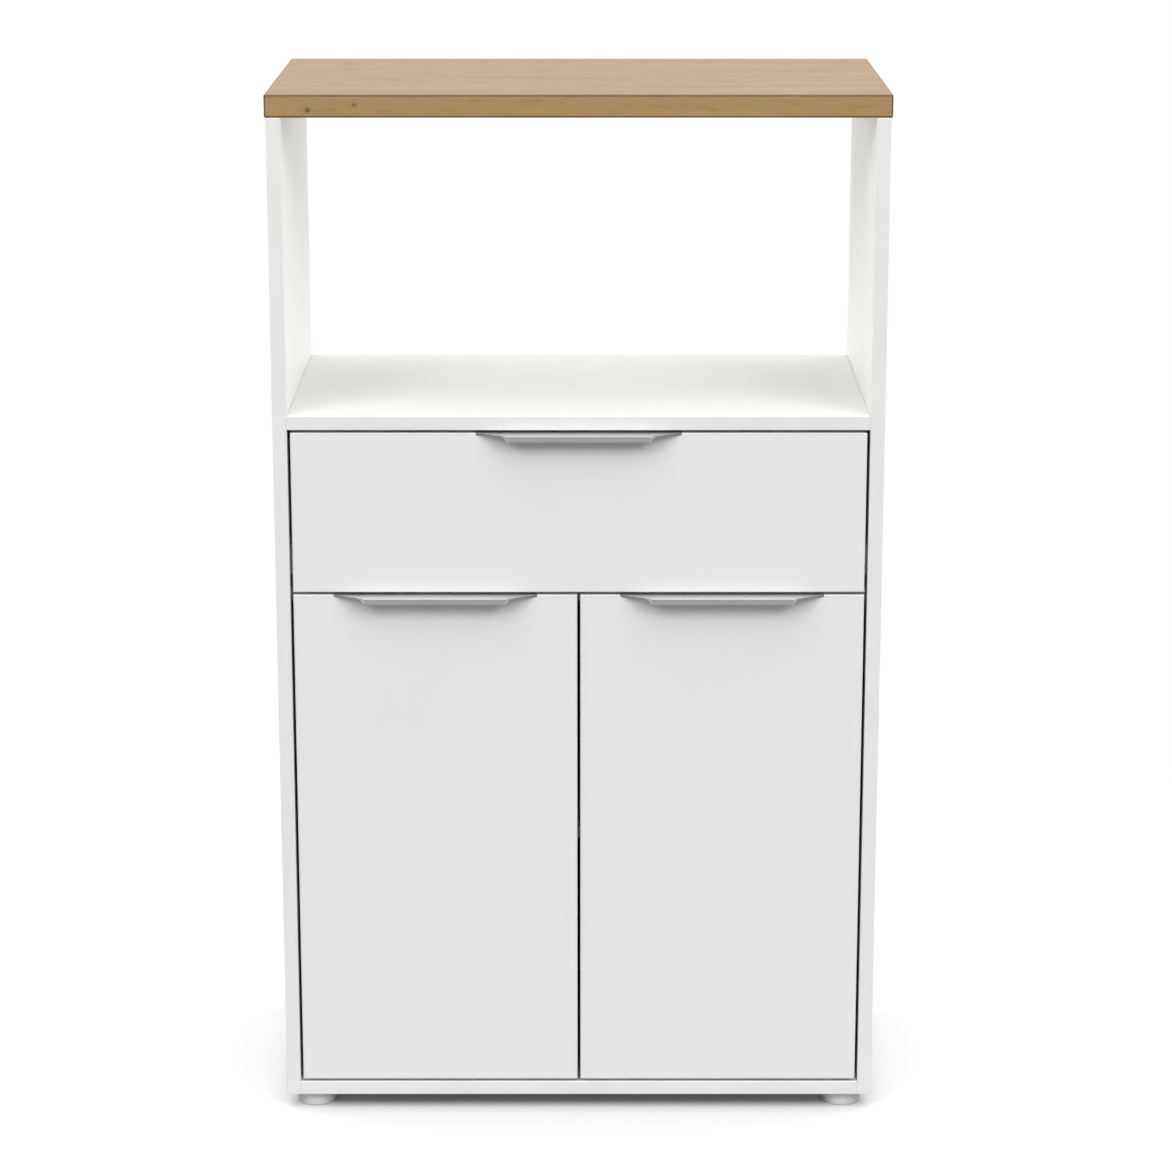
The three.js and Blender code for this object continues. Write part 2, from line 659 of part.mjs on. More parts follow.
function cabinetRunner(name, side) {
    const flip = inward(side);
    const top = CHANNEL_HEIGHT;
    const outline = [
        [0, 0], [CHANNEL_FLANGE, 0], [CHANNEL_FLANGE, STEEL], [STEEL, STEEL],
        [STEEL, top - STEEL], [CHANNEL_FLANGE, top - STEEL], [CHANNEL_FLANGE, top], [0, top],
    ].map(([x, z]) => [flip * x, z]);
    const body = joined(
        section(outline, [CHANNEL_Y, CHANNEL_Y + RUNNER_LENGTH]),
        axle(STEEL, 1, flip, FRONT_AXLE_Y, FRONT_AXLE_Z),
    );
    return piece(name, body, whiteSteel, [side * HALF_INNER, 0, CHANNEL_Z]);
}

function drawerRunner(name, side) {
    const flip = inward(side);
    const face = DRAWER_SIDE_CLEARANCE;
    const foot = RAIL_DROP + STEEL;
    const top = RAIL_FLANGE_Z + STEEL;
    const outline = [
        [RAIL_OUTER_GAP, RAIL_FLANGE_Z], [face - STEEL, RAIL_FLANGE_Z], [face - STEEL, RAIL_DROP],
        [face + RAIL_LIP, RAIL_DROP], [face + RAIL_LIP, foot], [face, foot], [face, top],
        [RAIL_OUTER_GAP, top],
    ].map(([x, z]) => [flip * x, z]);
    const body = joined(
        section(outline, [DRAWER_RAIL_Y, DRAWER_RAIL_Y + RUNNER_LENGTH]),
        axle(face - STEEL, -1, flip, REAR_AXLE_Y, REAR_AXLE_Z),
    );
    return piece(name, body, whiteSteel, [side * HALF_INNER, 0, CHANNEL_Z]);
}

function roller(name, side, middle, y, z) {
    const bore = AXLE_RADIUS + CLEARANCE;
    const half = ROLLER_WIDTH / 2;
    const tread = half - ROLLER_CHAMFER;
    const shoulder = ROLLER_RADIUS - ROLLER_CHAMFER;
    const body = turned([
        [bore, -half], [shoulder, -half], [ROLLER_RADIUS, -tread], [ROLLER_RADIUS, tread],
        [shoulder, half], [bore, half], [bore, -half],
    ]);
    const x = side * (HALF_INNER - middle);
    const wheel = piece(name, body, nylon, [x, y, CHANNEL_Z + z]);
    wheel.rotation.y = Math.PI / 2;
    return wheel;
}

function runnerPair(prefix, side) {
    const fromSteel = ROLLER_SIDE_GAP + ROLLER_WIDTH / 2;
    return [
        cabinetRunner(`${prefix}_cabinet_runner`, side),
        drawerRunner(`${prefix}_drawer_runner`, side),
        roller(`${prefix}_front_roller`, side, STEEL + fromSteel, FRONT_AXLE_Y, FRONT_AXLE_Z),
        roller(
            `${prefix}_rear_roller`,
            side,
            DRAWER_SIDE_CLEARANCE - STEEL - fromSteel,
            REAR_AXLE_Y,
            REAR_AXLE_Z,
        ),
    ];
}

// ---------- The whole cabinet ----------

const cabinet = new THREE.Group();
cabinet.add(
    topBoard(),
    panelBetweenSides('compartment_shelf', SHELF_Z),
    panelBetweenSides('bottom_panel', CARCASS_Z),
    backPanel(),
    crossRail(),
    looseShelf(),
    drawerFront(),
    drawerBack(),
    drawerBottom(),
);
cabinet.add(group(
    [0, FRONT_Y, DRAWER_Z],
    pullWithScrews('drawer', DRAWER_FRONT_HEIGHT),
));

for (const [word, side] of Object.entries(SIDES)) {
    cabinet.add(
        sidePanel(`${word}_side_panel`, side),
        door(word, side),
        doorBumper(`${word}_door_bumper`, side),
        drawerSide(`drawer_${word}_side`, side),
        ...runnerPair(word, side),
        foot(`front_${word}_foot`, side, FRONT_Y + FOOT_END_INSET),
        foot(`rear_${word}_foot`, side, BACK_Y - FOOT_END_INSET),
    );
    for (const [place, z] of Object.entries(HINGE_HEIGHTS)) {
        cabinet.add(hinge(`${word}_${place}`, side, z));
    }
    for (const [place, y] of Object.entries(PIN_YS)) {
        cabinet.add(shelfPin(`${place}_${word}_shelf_pin`, side, y));
    }
}

export default cabinet;
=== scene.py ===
"""Finished surfaces, materials and studio for the microwave cabinet.

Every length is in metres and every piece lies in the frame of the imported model: +Z is up, the
fronts face -Y, and the floor is z = 0.
"""

import json
import logging
import math
from dataclasses import dataclass, field
from enum import Enum
from typing import Callable, Optional, Sequence, Union

import bpy
import numpy as np
from mathutils.geometry import tessellate_polygon
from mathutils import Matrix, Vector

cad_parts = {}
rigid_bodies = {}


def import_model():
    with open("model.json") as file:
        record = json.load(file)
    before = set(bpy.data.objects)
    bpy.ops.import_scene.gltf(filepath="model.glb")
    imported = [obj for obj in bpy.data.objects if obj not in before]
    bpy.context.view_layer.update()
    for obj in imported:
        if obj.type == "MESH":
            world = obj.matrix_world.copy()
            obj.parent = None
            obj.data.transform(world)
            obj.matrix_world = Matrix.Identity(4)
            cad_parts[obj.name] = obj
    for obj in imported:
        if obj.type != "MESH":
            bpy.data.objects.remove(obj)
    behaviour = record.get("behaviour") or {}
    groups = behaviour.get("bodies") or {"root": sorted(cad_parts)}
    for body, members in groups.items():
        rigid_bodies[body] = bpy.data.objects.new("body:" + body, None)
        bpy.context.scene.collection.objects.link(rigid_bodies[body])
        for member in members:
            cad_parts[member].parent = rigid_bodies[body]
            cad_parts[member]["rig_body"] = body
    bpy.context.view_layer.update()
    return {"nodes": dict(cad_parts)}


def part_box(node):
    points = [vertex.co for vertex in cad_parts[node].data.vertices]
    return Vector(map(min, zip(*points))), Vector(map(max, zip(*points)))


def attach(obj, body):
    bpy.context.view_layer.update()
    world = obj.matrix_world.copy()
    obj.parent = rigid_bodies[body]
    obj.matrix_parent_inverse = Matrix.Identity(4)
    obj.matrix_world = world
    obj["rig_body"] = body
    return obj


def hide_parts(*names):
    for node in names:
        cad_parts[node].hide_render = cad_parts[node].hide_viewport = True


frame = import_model()

log = logging.getLogger("cabinet")

MM = 0.001
WELD = 1e-7          # corners closer than this are one corner
SLIVER = 1e-14       # a cross product shorter than this gives no direction
Corners = Sequence[Sequence[float]]
Number = Union[float, Callable[[np.ndarray], np.ndarray]]
Colour = tuple[float, float, float]
Socket = bpy.types.NodeSocket
Value = Union[float, Sequence[float], Socket]


class Axis(Enum):
    """The world axis that a local w axis lies along, with the local columns of world x, y and z."""

    X = (2, 0, 1)
    Y = (1, 2, 0)
    Z = (0, 1, 2)

    def world(self, local: np.ndarray) -> np.ndarray:
        """Reorders (u, v, w) columns into (x, y, z)."""
        return local[..., list(self.value)]


class Place(Enum):
    """A choice of places, each with a word in the names of the CAD nodes."""

    @property
    def word(self) -> str:
        """The place's word in a node's name."""
        return self.name.lower()


class Side(Place):
    """The left and right of the cabinet as seen from the front, with the sign of x."""

    LEFT = -1
    RIGHT = 1


class End(Place):
    """The front and the rear of the cabinet, with the sign of y."""

    FRONT = -1
    REAR = 1


class Level(Place):
    """The lower and the upper hinge of a door, with the sign of z from its middle."""

    LOWER = -1
    UPPER = 1


# ---------- Surfaces ----------


@dataclass
class Surface:
    """Faces of three or four corners, each corner with its own normal, each face with its finish.

    A triangle is kept as four corners of which the last two are the same.
    """

    corners: list[np.ndarray] = field(default_factory=list)
    normals: list[np.ndarray] = field(default_factory=list)
    finishes: list[np.ndarray] = field(default_factory=list)

    def add_grid(self, points: np.ndarray, normals: np.ndarray, finish: int = 0) -> None:
        """Adds the quads between neighbouring points of a grid.

        Args:
            points: A (rows, columns, 3) array. The faces look along column step x row step.
            normals: The normal at each point, in the same layout.
            finish: The number of the faces' finish.
        """
        def quads(a: np.ndarray) -> np.ndarray:
            """The four corners of each cell."""
            cells = (a[:-1, :-1], a[:-1, 1:], a[1:, 1:], a[1:, :-1])
            return np.stack(cells, axis=2).reshape(-1, 4, 3)

        faces = quads(points)
        self.corners.append(faces)
        self.normals.append(quads(normals))
        self.finishes.append(np.full(len(faces), finish))

    def add_triangles(self, triangles: np.ndarray, finish: int = 0) -> None:
        """Adds flat triangles, each with its own normal.

        Args:
            triangles: A (count, 3, 3) array.
            finish: The number of the faces' finish.
        """
        across = np.cross(triangles[:, 1] - triangles[:, 0], triangles[:, 2] - triangles[:, 0])
        size = np.linalg.norm(across, axis=1)
        kept = size > SLIVER
        faces, unit = triangles[kept], across[kept] / size[kept, None]
        self.corners.append(faces[:, [0, 1, 2, 2]])
        self.normals.append(np.repeat(unit[:, None], 4, axis=1))
        self.finishes.append(np.full(len(faces), finish))

    def add(self, *others: "Surface") -> "Surface":
        """Takes in the faces of other surfaces.

        Args:
            others: The surfaces.

        Returns:
            This surface.
        """
        for other in others:
            self.corners += other.corners
            self.normals += other.normals
            self.finishes += other.finishes
        return self

    def placed(self, turn: np.ndarray, move: Sequence[float] = (0, 0, 0)) -> "Surface":
        """The surface turned or mirrored, then moved. Its faces still look outward after a mirror.

        Args:
            turn: A 3 x 3 matrix.
            move: How far it moves along x, y and z.

        Returns:
            A new surface.
        """
        order = [3, 2, 1, 0] if np.linalg.det(turn) < 0 else [0, 1, 2, 3]
        return Surface(
            [c[:, order] @ turn.T + np.array(move) for c in self.corners],
            [n[:, order] @ turn.T for n in self.normals],
            list(self.finishes),
        )

    def moved(self, x: float = 0, y: float = 0, z: float = 0) -> "Surface":
        """The surface moved along the three axes."""
        return self.placed(np.eye(3), (x, y, z))

    def finished(self, number: int) -> "Surface":
        """The surface with one finish on all its faces."""
        finishes = [np.full_like(faces, number) for faces in self.finishes]
        return Surface(self.corners, self.normals, finishes)

    def mesh(self, name: str) -> bpy.types.Mesh:
        """Welds the corners that share a place and gives the mesh its corner normals.

        A face whose neighbouring corners fall together loses one of them, which closes the poles.

        Args:
            name: The mesh's name.

        Returns:
            The mesh.
        """
        corners = np.concatenate(self.corners)
        normals = np.concatenate(self.normals)
        finishes = np.concatenate(self.finishes)
        flat = corners.reshape(-1, 3)
        keys = np.round(flat / WELD).astype(np.int64)
        _, first, index = np.unique(keys, axis=0, return_index=True, return_inverse=True)
        faces = index.reshape(-1, 4)
        kept = faces != np.roll(faces, -1, axis=1)
        folded = (faces[:, 0] == faces[:, 2]) | (faces[:, 1] == faces[:, 3])
        good = (kept.sum(axis=1) >= 3) & ~folded
        kept, faces, normals = kept[good], faces[good], normals[good]
        rings = np.split(faces[kept], np.cumsum(kept.sum(axis=1))[:-1])
        mesh = bpy.data.meshes.new(name)
        mesh.from_pydata(flat[first], [], [ring.tolist() for ring in rings])
        mesh.polygons.foreach_set("use_smooth", np.ones(len(rings), bool))
        mesh.polygons.foreach_set("material_index", finishes[good].astype(np.int32))
        mesh.normals_split_custom_set(normals[kept])
        mesh.update()
        return mesh


@dataclass(frozen=True)
class Outline:
    """A closed line in a plane, anticlockwise, with the outward unit normal at each point."""

    points: np.ndarray
    normals: np.ndarray

    def inset(self, distance: float) -> np.ndarray:
        """The points moved inward along their normals."""
        return self.points - self.normals * distance


def rounded(corners: Corners, radius: Union[float, Sequence[float]], steps: int = 3) -> Outline:
    """A polygon with each corner replaced by an arc that touches both of its edges.

    With t the turn at a corner, the arc starts radius * tan(|t| / 2) before it. Its centre lies one
    radius inward of the edge, or outward where the outline turns back on itself.

    Args:
        corners: The corners, anticlockwise.
        radius: One radius, or one for each corner.
        steps: Steps of each arc.

    Returns:
        The line through all the arcs.
    """
    p = np.array(corners, float)
    r = np.broadcast_to(np.array(radius, float), (len(p),))
    into = p - np.roll(p, 1, axis=0)
    into /= np.linalg.norm(into, axis=1)[:, None]
    out = np.roll(into, -1, axis=0)
    turn = np.arctan2(into[:, 0] * out[:, 1] - into[:, 1] * out[:, 0], (into * out).sum(axis=1))
    normal = np.stack([into[:, 1], -into[:, 0]], axis=1)
    signed = r * np.sign(turn)
    centre = p - into * (r * np.tan(np.abs(turn) / 2))[:, None] - normal * signed[:, None]
    start = np.arctan2(normal[:, 1], normal[:, 0])
    angle = start[:, None] + turn[:, None] * np.linspace(0, 1, steps + 1)[None]
    normals = np.stack([np.cos(angle), np.sin(angle)], axis=2)
    points = centre[:, None] + normals * signed[:, None, None]
    return Outline(points.reshape(-1, 2), normals.reshape(-1, 2))


def circle(u: float, v: float, radius: float, count: int = 32) -> Outline:
    """A circle: its centre + radius * (cos a, sin a).

    Args:
        u: First coordinate of the centre.
        v: Second coordinate of the centre.
        radius: The radius.
        count: Steps round it.

    Returns:
        The circle.
    """
    a = np.linspace(0, 2 * np.pi, count, endpoint=False)
    normals = np.stack([np.cos(a), np.sin(a)], axis=1)
    return Outline(np.array([u, v]) + radius * normals, normals)


def oblong(low: Sequence[float], high: Sequence[float], radius: float, steps: int = 3) -> Outline:
    """A rectangle between two opposite corners, with rounded corners."""
    (a, b), (c, d) = low, high
    return rounded([(a, b), (c, b), (c, d), (a, d)], radius, steps)


@dataclass(frozen=True)
class Pocket:
    """A hole into one of the two flat ends of a slab, or through it where it has no depth."""

    shape: Outline
    depth: float = 0.0
    into_top: bool = True


def ring(line: np.ndarray) -> np.ndarray:
    """A closed row of points with its first point repeated at the end."""
    return np.concatenate([line, line[:1]])


def lift(flat: np.ndarray, height: Union[float, np.ndarray]) -> np.ndarray:
    """Plane points (u, v) given a height w."""
    w = np.broadcast_to(np.asarray(height, float), flat.shape[:-1])
    return np.concatenate([flat, w[..., None]], axis=-1)


def filled(loops: Sequence[np.ndarray], height: Number, up: bool) -> np.ndarray:
    """Triangles that fill a loop in the plane, less its holes, all turned up or all down.

    Args:
        loops: The outer line and the lines of the holes.
        height: The height w, as a number or a function of the (u, v) points.
        up: Whether the triangles look along +w.

    Returns:
        A (count, 3, 3) array of (u, v, w).
    """
    lines = [l[np.linalg.norm(l - np.roll(l, 1, axis=0), axis=1) > WELD] for l in loops]
    points = np.concatenate(lines)
    index = np.array(tessellate_polygon([lift(line, 0.0).tolist() for line in lines]))
    a, b, c = (points[index[:, k]] for k in range(3))
    area = (b - a)[:, 0] * (c - a)[:, 1] - (b - a)[:, 1] * (c - a)[:, 0]
    wrong = (area > 0) != up
    index[wrong] = index[wrong][:, ::-1]
    w = height(points) if callable(height) else height
    return lift(points, w)[index]


def slab(outline: Outline, low: Number, high: Number, axis: Axis = Axis.Z, arris: float = 0.0,
         pockets: Sequence[Pocket] = (), seam: float = 0.0, steps: int = 3,
         finishes: Sequence[int] = (0, 0, 0, 0)) -> Surface:
    """An outline carried along an axis from low to high, with rounded edges at both flat ends.

    With a from 0 to 90 degrees, the edge is inset by arris * (1 - sin a) and lies
    arris * (1 - cos a) inside the end. The flat ends are triangles round the pockets.

    Args:
        outline: The section, in the plane across the axis.
        low: Place of the lower end, as a number or a function of the points of the section.
        high: Place of the upper end, likewise.
        axis: The world axis that it is carried along.
        arris: Radius of the rounded edge.
        pockets: Holes in the flat ends.
        seam: Width of a hairline just inside the rounded edge, or 0 for none.
        steps: Steps of the rounded edge.
        finishes: Finish numbers of the flat ends, the walls, the seam and the pockets.

    Returns:
        The slab's faces.
    """
    face, wall, hair, hole = finishes
    whole = Surface()
    p, n = ring(outline.points), ring(outline.normals)
    a = np.linspace(0, np.pi / 2, steps + 1 if arris else 1) + (0 if arris else np.pi / 2)
    inset, sink = arris * (1 - np.sin(a)), arris * (1 - np.cos(a)) if arris else np.zeros(1)
    lines = p[None] - n[None] * inset[:, None, None]
    at_low, at_high = (end(lines) if callable(end) else np.full(lines.shape[:2], end)
                       for end in (low, high))
    heights = np.concatenate([at_low + sink[:, None], (at_high - sink[:, None])[::-1]])
    out = np.concatenate([np.sin(a), np.sin(a)[::-1]])
    tilt = np.concatenate([-np.cos(a), np.cos(a)[::-1]])
    rows = lift(np.concatenate([lines, lines[::-1]]), heights)
    normals = lift(n[None] * out[:, None, None], np.repeat(tilt[:, None], len(p), axis=1))
    whole.add_grid(axis.world(rows), axis.world(normals), wall)
    for top, end in ((False, low), (True, high)):
        edge = outline.inset(arris)
        if seam:
            inner = outline.inset(arris + seam)
            pair = [edge, inner] if top else [inner, edge]
            strip = lift(np.stack([ring(line) for line in pair]), end)
            up = np.broadcast_to(np.array([0, 0, 1.0 if top else -1.0]), strip.shape)
            whole.add_grid(axis.world(strip), axis.world(up), hair)
            edge = inner
        cut = [k for k in pockets if not k.depth or k.into_top == top]
        loops = [edge] + [k.shape.points for k in cut]
        whole.add_triangles(axis.world(filled(loops, end, top)), face)
    for k in pockets:
        mouth = high if k.into_top else low
        floor = low if not k.depth else mouth - k.depth if k.into_top else mouth + k.depth
        ends = [mouth, floor] if k.into_top else [floor, mouth]
        line = ring(k.shape.points)
        walls = np.stack([lift(line, e(line) if callable(e) else e) for e in ends])
        inward = np.broadcast_to(lift(-ring(k.shape.normals), 0.0), walls.shape)
        whole.add_grid(axis.world(walls), axis.world(inward), hole)
        if k.depth:
            whole.add_triangles(axis.world(filled([k.shape.points], floor, k.into_top)), hole)
    return whole


def turned(runs: Sequence[Corners], axis: Axis = Axis.Z, centre: Sequence[float] = (0, 0, 0),
           count: int = 48, finishes: Sequence[int] = ()) -> Surface:
    """A profile turned about an axis: (r, w) goes to (r cos a, r sin a, w).

    Args:
        runs: Smooth runs of (radius, place along the axis), meeting at sharp edges. Walked from the
            lower end to the upper one, the outside is on the right.
        axis: The world axis that it turns about.
        centre: The world point that the profile is measured from.
        count: Steps round the axis.
        finishes: The finish number of each run, or nothing for all 0.

    Returns:
        The turned faces.
    """
    whole = Surface()
    a = np.linspace(0, 2 * np.pi, count + 1)
    a[-1] = 0.0
    around = np.stack([np.cos(a), np.sin(a)], axis=1)
    for i, run in enumerate(runs):
        line = np.array(run, float)
        along = np.gradient(line, axis=0)
        along /= np.linalg.norm(along, axis=1)[:, None]
        points = lift(line[:, None, :1] * around[None], line[:, 1:2])
        normals = lift(along[:, None, 1:] * around[None], -along[:, :1])
        finish = finishes[i] if finishes else 0
        whole.add_grid(axis.world(points) + np.array(centre), axis.world(normals), finish)
    return whole


def arc(r: float, w: float, radius: float, start: float, end: float,
        steps: int = 5) -> list[list[float]]:
    """Points of an arc in the (r, w) plane, angles in degrees."""
    a = np.radians(np.linspace(start, end, steps + 1))
    return np.stack([r + radius * np.cos(a), w + radius * np.sin(a)], axis=1).tolist()


def smoothstep(x: np.ndarray) -> np.ndarray:
    """3x^2 - 2x^3 between 0 and 1."""
    x = np.clip(x, 0, 1)
    return x * x * (3 - 2 * x)


def screw_head(radius: float, height: float, spin: float = 0.0) -> Surface:
    """A pan head with a cross recess, standing on w = 0.

    Its height over (r, a) is a dome height * (1 - (r / radius)^4)^0.5, less a cross of two slots
    whose depth fades with the distance from their middle lines and towards the rim.

    Args:
        radius: Radius of the head.
        height: Height of the dome.
        spin: Turn of the cross, in degrees.

    Returns:
        The head's faces.
    """
    r = radius * np.sin(np.linspace(0, np.pi / 2, 11))[::-1]
    a = np.linspace(0, 2 * np.pi, 49)
    a[-1] = 0.0
    rr, aa = np.meshgrid(r, a, indexing="ij")
    u, v = rr * np.cos(aa), rr * np.sin(aa)
    turn = math.radians(spin)
    s, t = u * math.cos(turn) + v * math.sin(turn), v * math.cos(turn) - u * math.sin(turn)
    near = np.minimum(np.abs(s), np.abs(t))
    reach = np.maximum(np.abs(s), np.abs(t))
    width, length = 0.13 * radius, 0.24 * radius
    slot = smoothstep(1.6 - near / width) * smoothstep(2.6 - reach / length)
    w = height * (np.sqrt(np.clip(1 - (rr / radius) ** 4, 0, 1)) - 0.75 * slot)
    points = np.stack([u, v, np.where(rr >= radius, 0.0, np.maximum(w, 0.05 * height))], axis=2)
    around = np.roll(points[:, :-1], -1, axis=1) - np.roll(points[:, :-1], 1, axis=1)
    around = np.concatenate([around, around[:, :1]], axis=1)
    normals = np.cross(around, np.gradient(points, axis=0))
    size = np.linalg.norm(normals, axis=2, keepdims=True)
    normals = np.where(size > SLIVER, normals / np.maximum(size, SLIVER), (0, 0, 1))
    whole = Surface()
    whole.add_grid(points, normals)
    return whole


def facing(axis: Axis, sign: int = 1) -> np.ndarray:
    """The matrix that stands a shape drawn on w = 0 on a face that looks along +axis or -axis."""
    turn = np.eye(3)[list(axis.value)]
    return turn if sign > 0 else turn @ np.diag([1.0, -1.0, -1.0])


# ---------- Finishes ----------


class Graph:
    """The nodes of a material or of the world, written one call a node."""

    def __init__(self, name: str, world: bool = False) -> None:
        """Starts an empty material or world.

        Args:
            name: Its name.
            world: Whether it is a world.
        """
        self.owner = (bpy.data.worlds if world else bpy.data.materials).new(name)
        self.owner.use_nodes = True
        self.nodes, self.links = self.owner.node_tree.nodes, self.owner.node_tree.links
        self.nodes.clear()
        self.coordinates = self.node("ShaderNodeTexCoord").outputs
        self.place = self.coordinates["Object"]

    def node(self, kind: str, inputs: Optional[dict[Union[str, int], Value]] = None,
             **settings: object) -> bpy.types.Node:
        """Adds a node.

        Args:
            kind: The node's Blender type.
            inputs: A value or another node's output for each input, by name or number.
            settings: The node's own properties.

        Returns:
            The node.
        """
        node = self.nodes.new(kind)
        for name, value in settings.items():
            setattr(node, name, value)
        for name, value in (inputs or {}).items():
            if isinstance(value, Socket):
                self.links.new(value, node.inputs[name])
            else:
                node.inputs[name].default_value = value
        return node

    def scaled(self, x: float, y: float, z: float, shift: Sequence[float] = (0, 0, 0)) -> Socket:
        """Object coordinates multiplied by a scale on each axis, then moved."""
        inputs = {"Vector": self.place, "Scale": (x, y, z), "Location": shift}
        return self.node("ShaderNodeMapping", inputs).outputs[0]

    def noise(self, place: Socket, scale: float = 1.0, detail: float = 3.0,
              rough: float = 0.5) -> Socket:
        """Cloudy noise from about 0 to 1."""
        inputs = {"Vector": place, "Scale": scale, "Detail": detail, "Roughness": rough}
        return self.node("ShaderNodeTexNoise", inputs).outputs["Fac"]

    def cells(self, place: Socket, scale: float = 1.0, output: str = "Distance") -> Socket:
        """Voronoi cells: the distance to the middle of each, or its own colour."""
        inputs = {"Vector": place, "Scale": scale}
        return self.node("ShaderNodeTexVoronoi", inputs).outputs[output]

    def span(self, value: Value, low: float, high: float, to_low: float = 0.0,
             to_high: float = 1.0) -> Socket:
        """Maps low..high to another range and stops at its ends."""
        inputs = {"Value": value, 1: low, 2: high, 3: to_low, 4: to_high}
        return self.node("ShaderNodeMapRange", inputs).outputs[0]

    def calc(self, operation: str, a: Value, b: Value = 0.0) -> Socket:
        """One sum of two values."""
        return self.node("ShaderNodeMath", {0: a, 1: b}, operation=operation).outputs[0]

    def vector(self, operation: str, a: Value, b: Value = (0.0, 0.0, 0.0)) -> bpy.types.Node:
        """One sum of two vectors."""
        return self.node("ShaderNodeVectorMath", {0: a, 1: b}, operation=operation)

    def mix(self, a: Value, b: Value, factor: Value, blend: str = "MIX") -> Socket:
        """Mixes two colours.

        Args:
            a: The colour at factor 0, as an output or as red, green and blue.
            b: The colour at factor 1, likewise.
            factor: How much of the second is mixed in.
            blend: The way of mixing.

        Returns:
            The mixed colour.
        """
        first, second = (c if isinstance(c, Socket) else (*c, 1.0) for c in (a, b))
        inputs = {0: factor, 6: first, 7: second}
        return self.node("ShaderNodeMix", inputs, data_type="RGBA", blend_type=blend).outputs[2]

    def bump(self, height: Socket, distance: float, strength: float = 1.0,
             under: Optional[Socket] = None) -> Socket:
        """A normal from a height.

        Args:
            height: The height, from 0 to 1.
            distance: The height of 1, in metres.
            strength: How much of it shows.
            under: Another bump that this one lies on.

        Returns:
            The normal.
        """
        inputs = {"Height": height, "Distance": distance, "Strength": strength}
        if under is not None:
            inputs["Normal"] = under
        return self.node("ShaderNodeBump", inputs).outputs[0]

    def upward(self, axis: str = "Z") -> Socket:
        """How far the true surface faces along an axis, from -1 to 1."""
        normal = self.node("ShaderNodeNewGeometry").outputs["Normal"]
        return self.node("ShaderNodeSeparateXYZ", {0: normal}).outputs[axis]

    def surface(self, **sockets: Value) -> bpy.types.Material:
        """Ends a material's graph in a principled shader.

        Args:
            sockets: What each socket is set to. A line under stands for a space in its name.

        Returns:
            The material.
        """
        named = {name.replace("_", " "): value for name, value in sockets.items()}
        shader = self.node("ShaderNodeBsdfPrincipled", named).outputs[0]
        self.node("ShaderNodeOutputMaterial", {"Surface": shader})
        return self.owner


def darker(colour: Colour, share: float) -> Colour:
    """A colour multiplied by a share."""
    return tuple(c * share for c in colour)


@dataclass(frozen=True)
class Melamine:
    """White decor paper pressed under resin: faint clouds, a fine pearl texture, a satin gloss."""

    name: str = "white_melamine"
    colour: Colour = (0.845, 0.845, 0.828)
    roughness: float = 0.42
    pearl: float = 0.000012
    wave: float = 0.00002

    def material(self) -> bpy.types.Material:
        """Builds the finish.

        Returns:
            The material.
        """
        g = Graph(self.name)
        shade = darker(self.colour, 0.975)
        clouds = g.span(g.noise(g.place, 9.0, 4.0, 0.6), 0.35, 0.65)
        fleck = g.span(g.noise(g.place, 1400.0, 2.0), 0.3, 0.7)
        colour = g.mix(g.mix(self.colour, shade, clouds), shade, g.calc("MULTIPLY", fleck, 0.35))
        low, high = self.roughness - 0.03, self.roughness + 0.04
        rough = g.span(g.noise(g.place, 60.0, 3.0), 0.3, 0.7, low, high)
        pearl = g.bump(g.noise(g.place, 1100.0, 2.0, 0.6), self.pearl, 0.5)
        wave = g.bump(g.noise(g.place, 45.0, 1.0), self.wave, 0.3, pearl)
        return g.surface(Base_Color=colour, Roughness=rough, IOR=1.5, Normal=wave)


@dataclass(frozen=True)
class PlainBand:
    """White plastic edge band, a touch smoother than the board, with faint draw lines."""

    name: str = "white_edge_band"
    colour: Colour = (0.85, 0.85, 0.835)
    roughness: float = 0.36
    lines: float = 0.00001

    def material(self) -> bpy.types.Material:
        """Builds the finish.

        Returns:
            The material.
        """
        g = Graph(self.name)
        shade = darker(self.colour, 0.965)
        lines = g.noise(g.scaled(900.0, 900.0, 900.0), 1.0, 2.0)
        colour = g.mix(self.colour, shade, g.span(g.noise(g.place, 24.0, 3.0), 0.35, 0.65))
        normal = g.bump(lines, self.lines, 0.4)
        return g.surface(Base_Color=colour, Roughness=self.roughness, IOR=1.5, Normal=normal)


@dataclass(frozen=True)
class GlueLine:
    """The hairline between a face and its edge band."""

    name: str = "glue_line"
    colour: Colour = (0.62, 0.61, 0.58)
    roughness: float = 0.6

    def material(self) -> bpy.types.Material:
        """Builds the finish.

        Returns:
            The material.
        """
        g = Graph(self.name)
        colour = g.mix(self.colour, darker(self.colour, 0.8), g.noise(g.place, 220.0, 3.0))
        return g.surface(Base_Color=colour, Roughness=self.roughness, IOR=1.45)


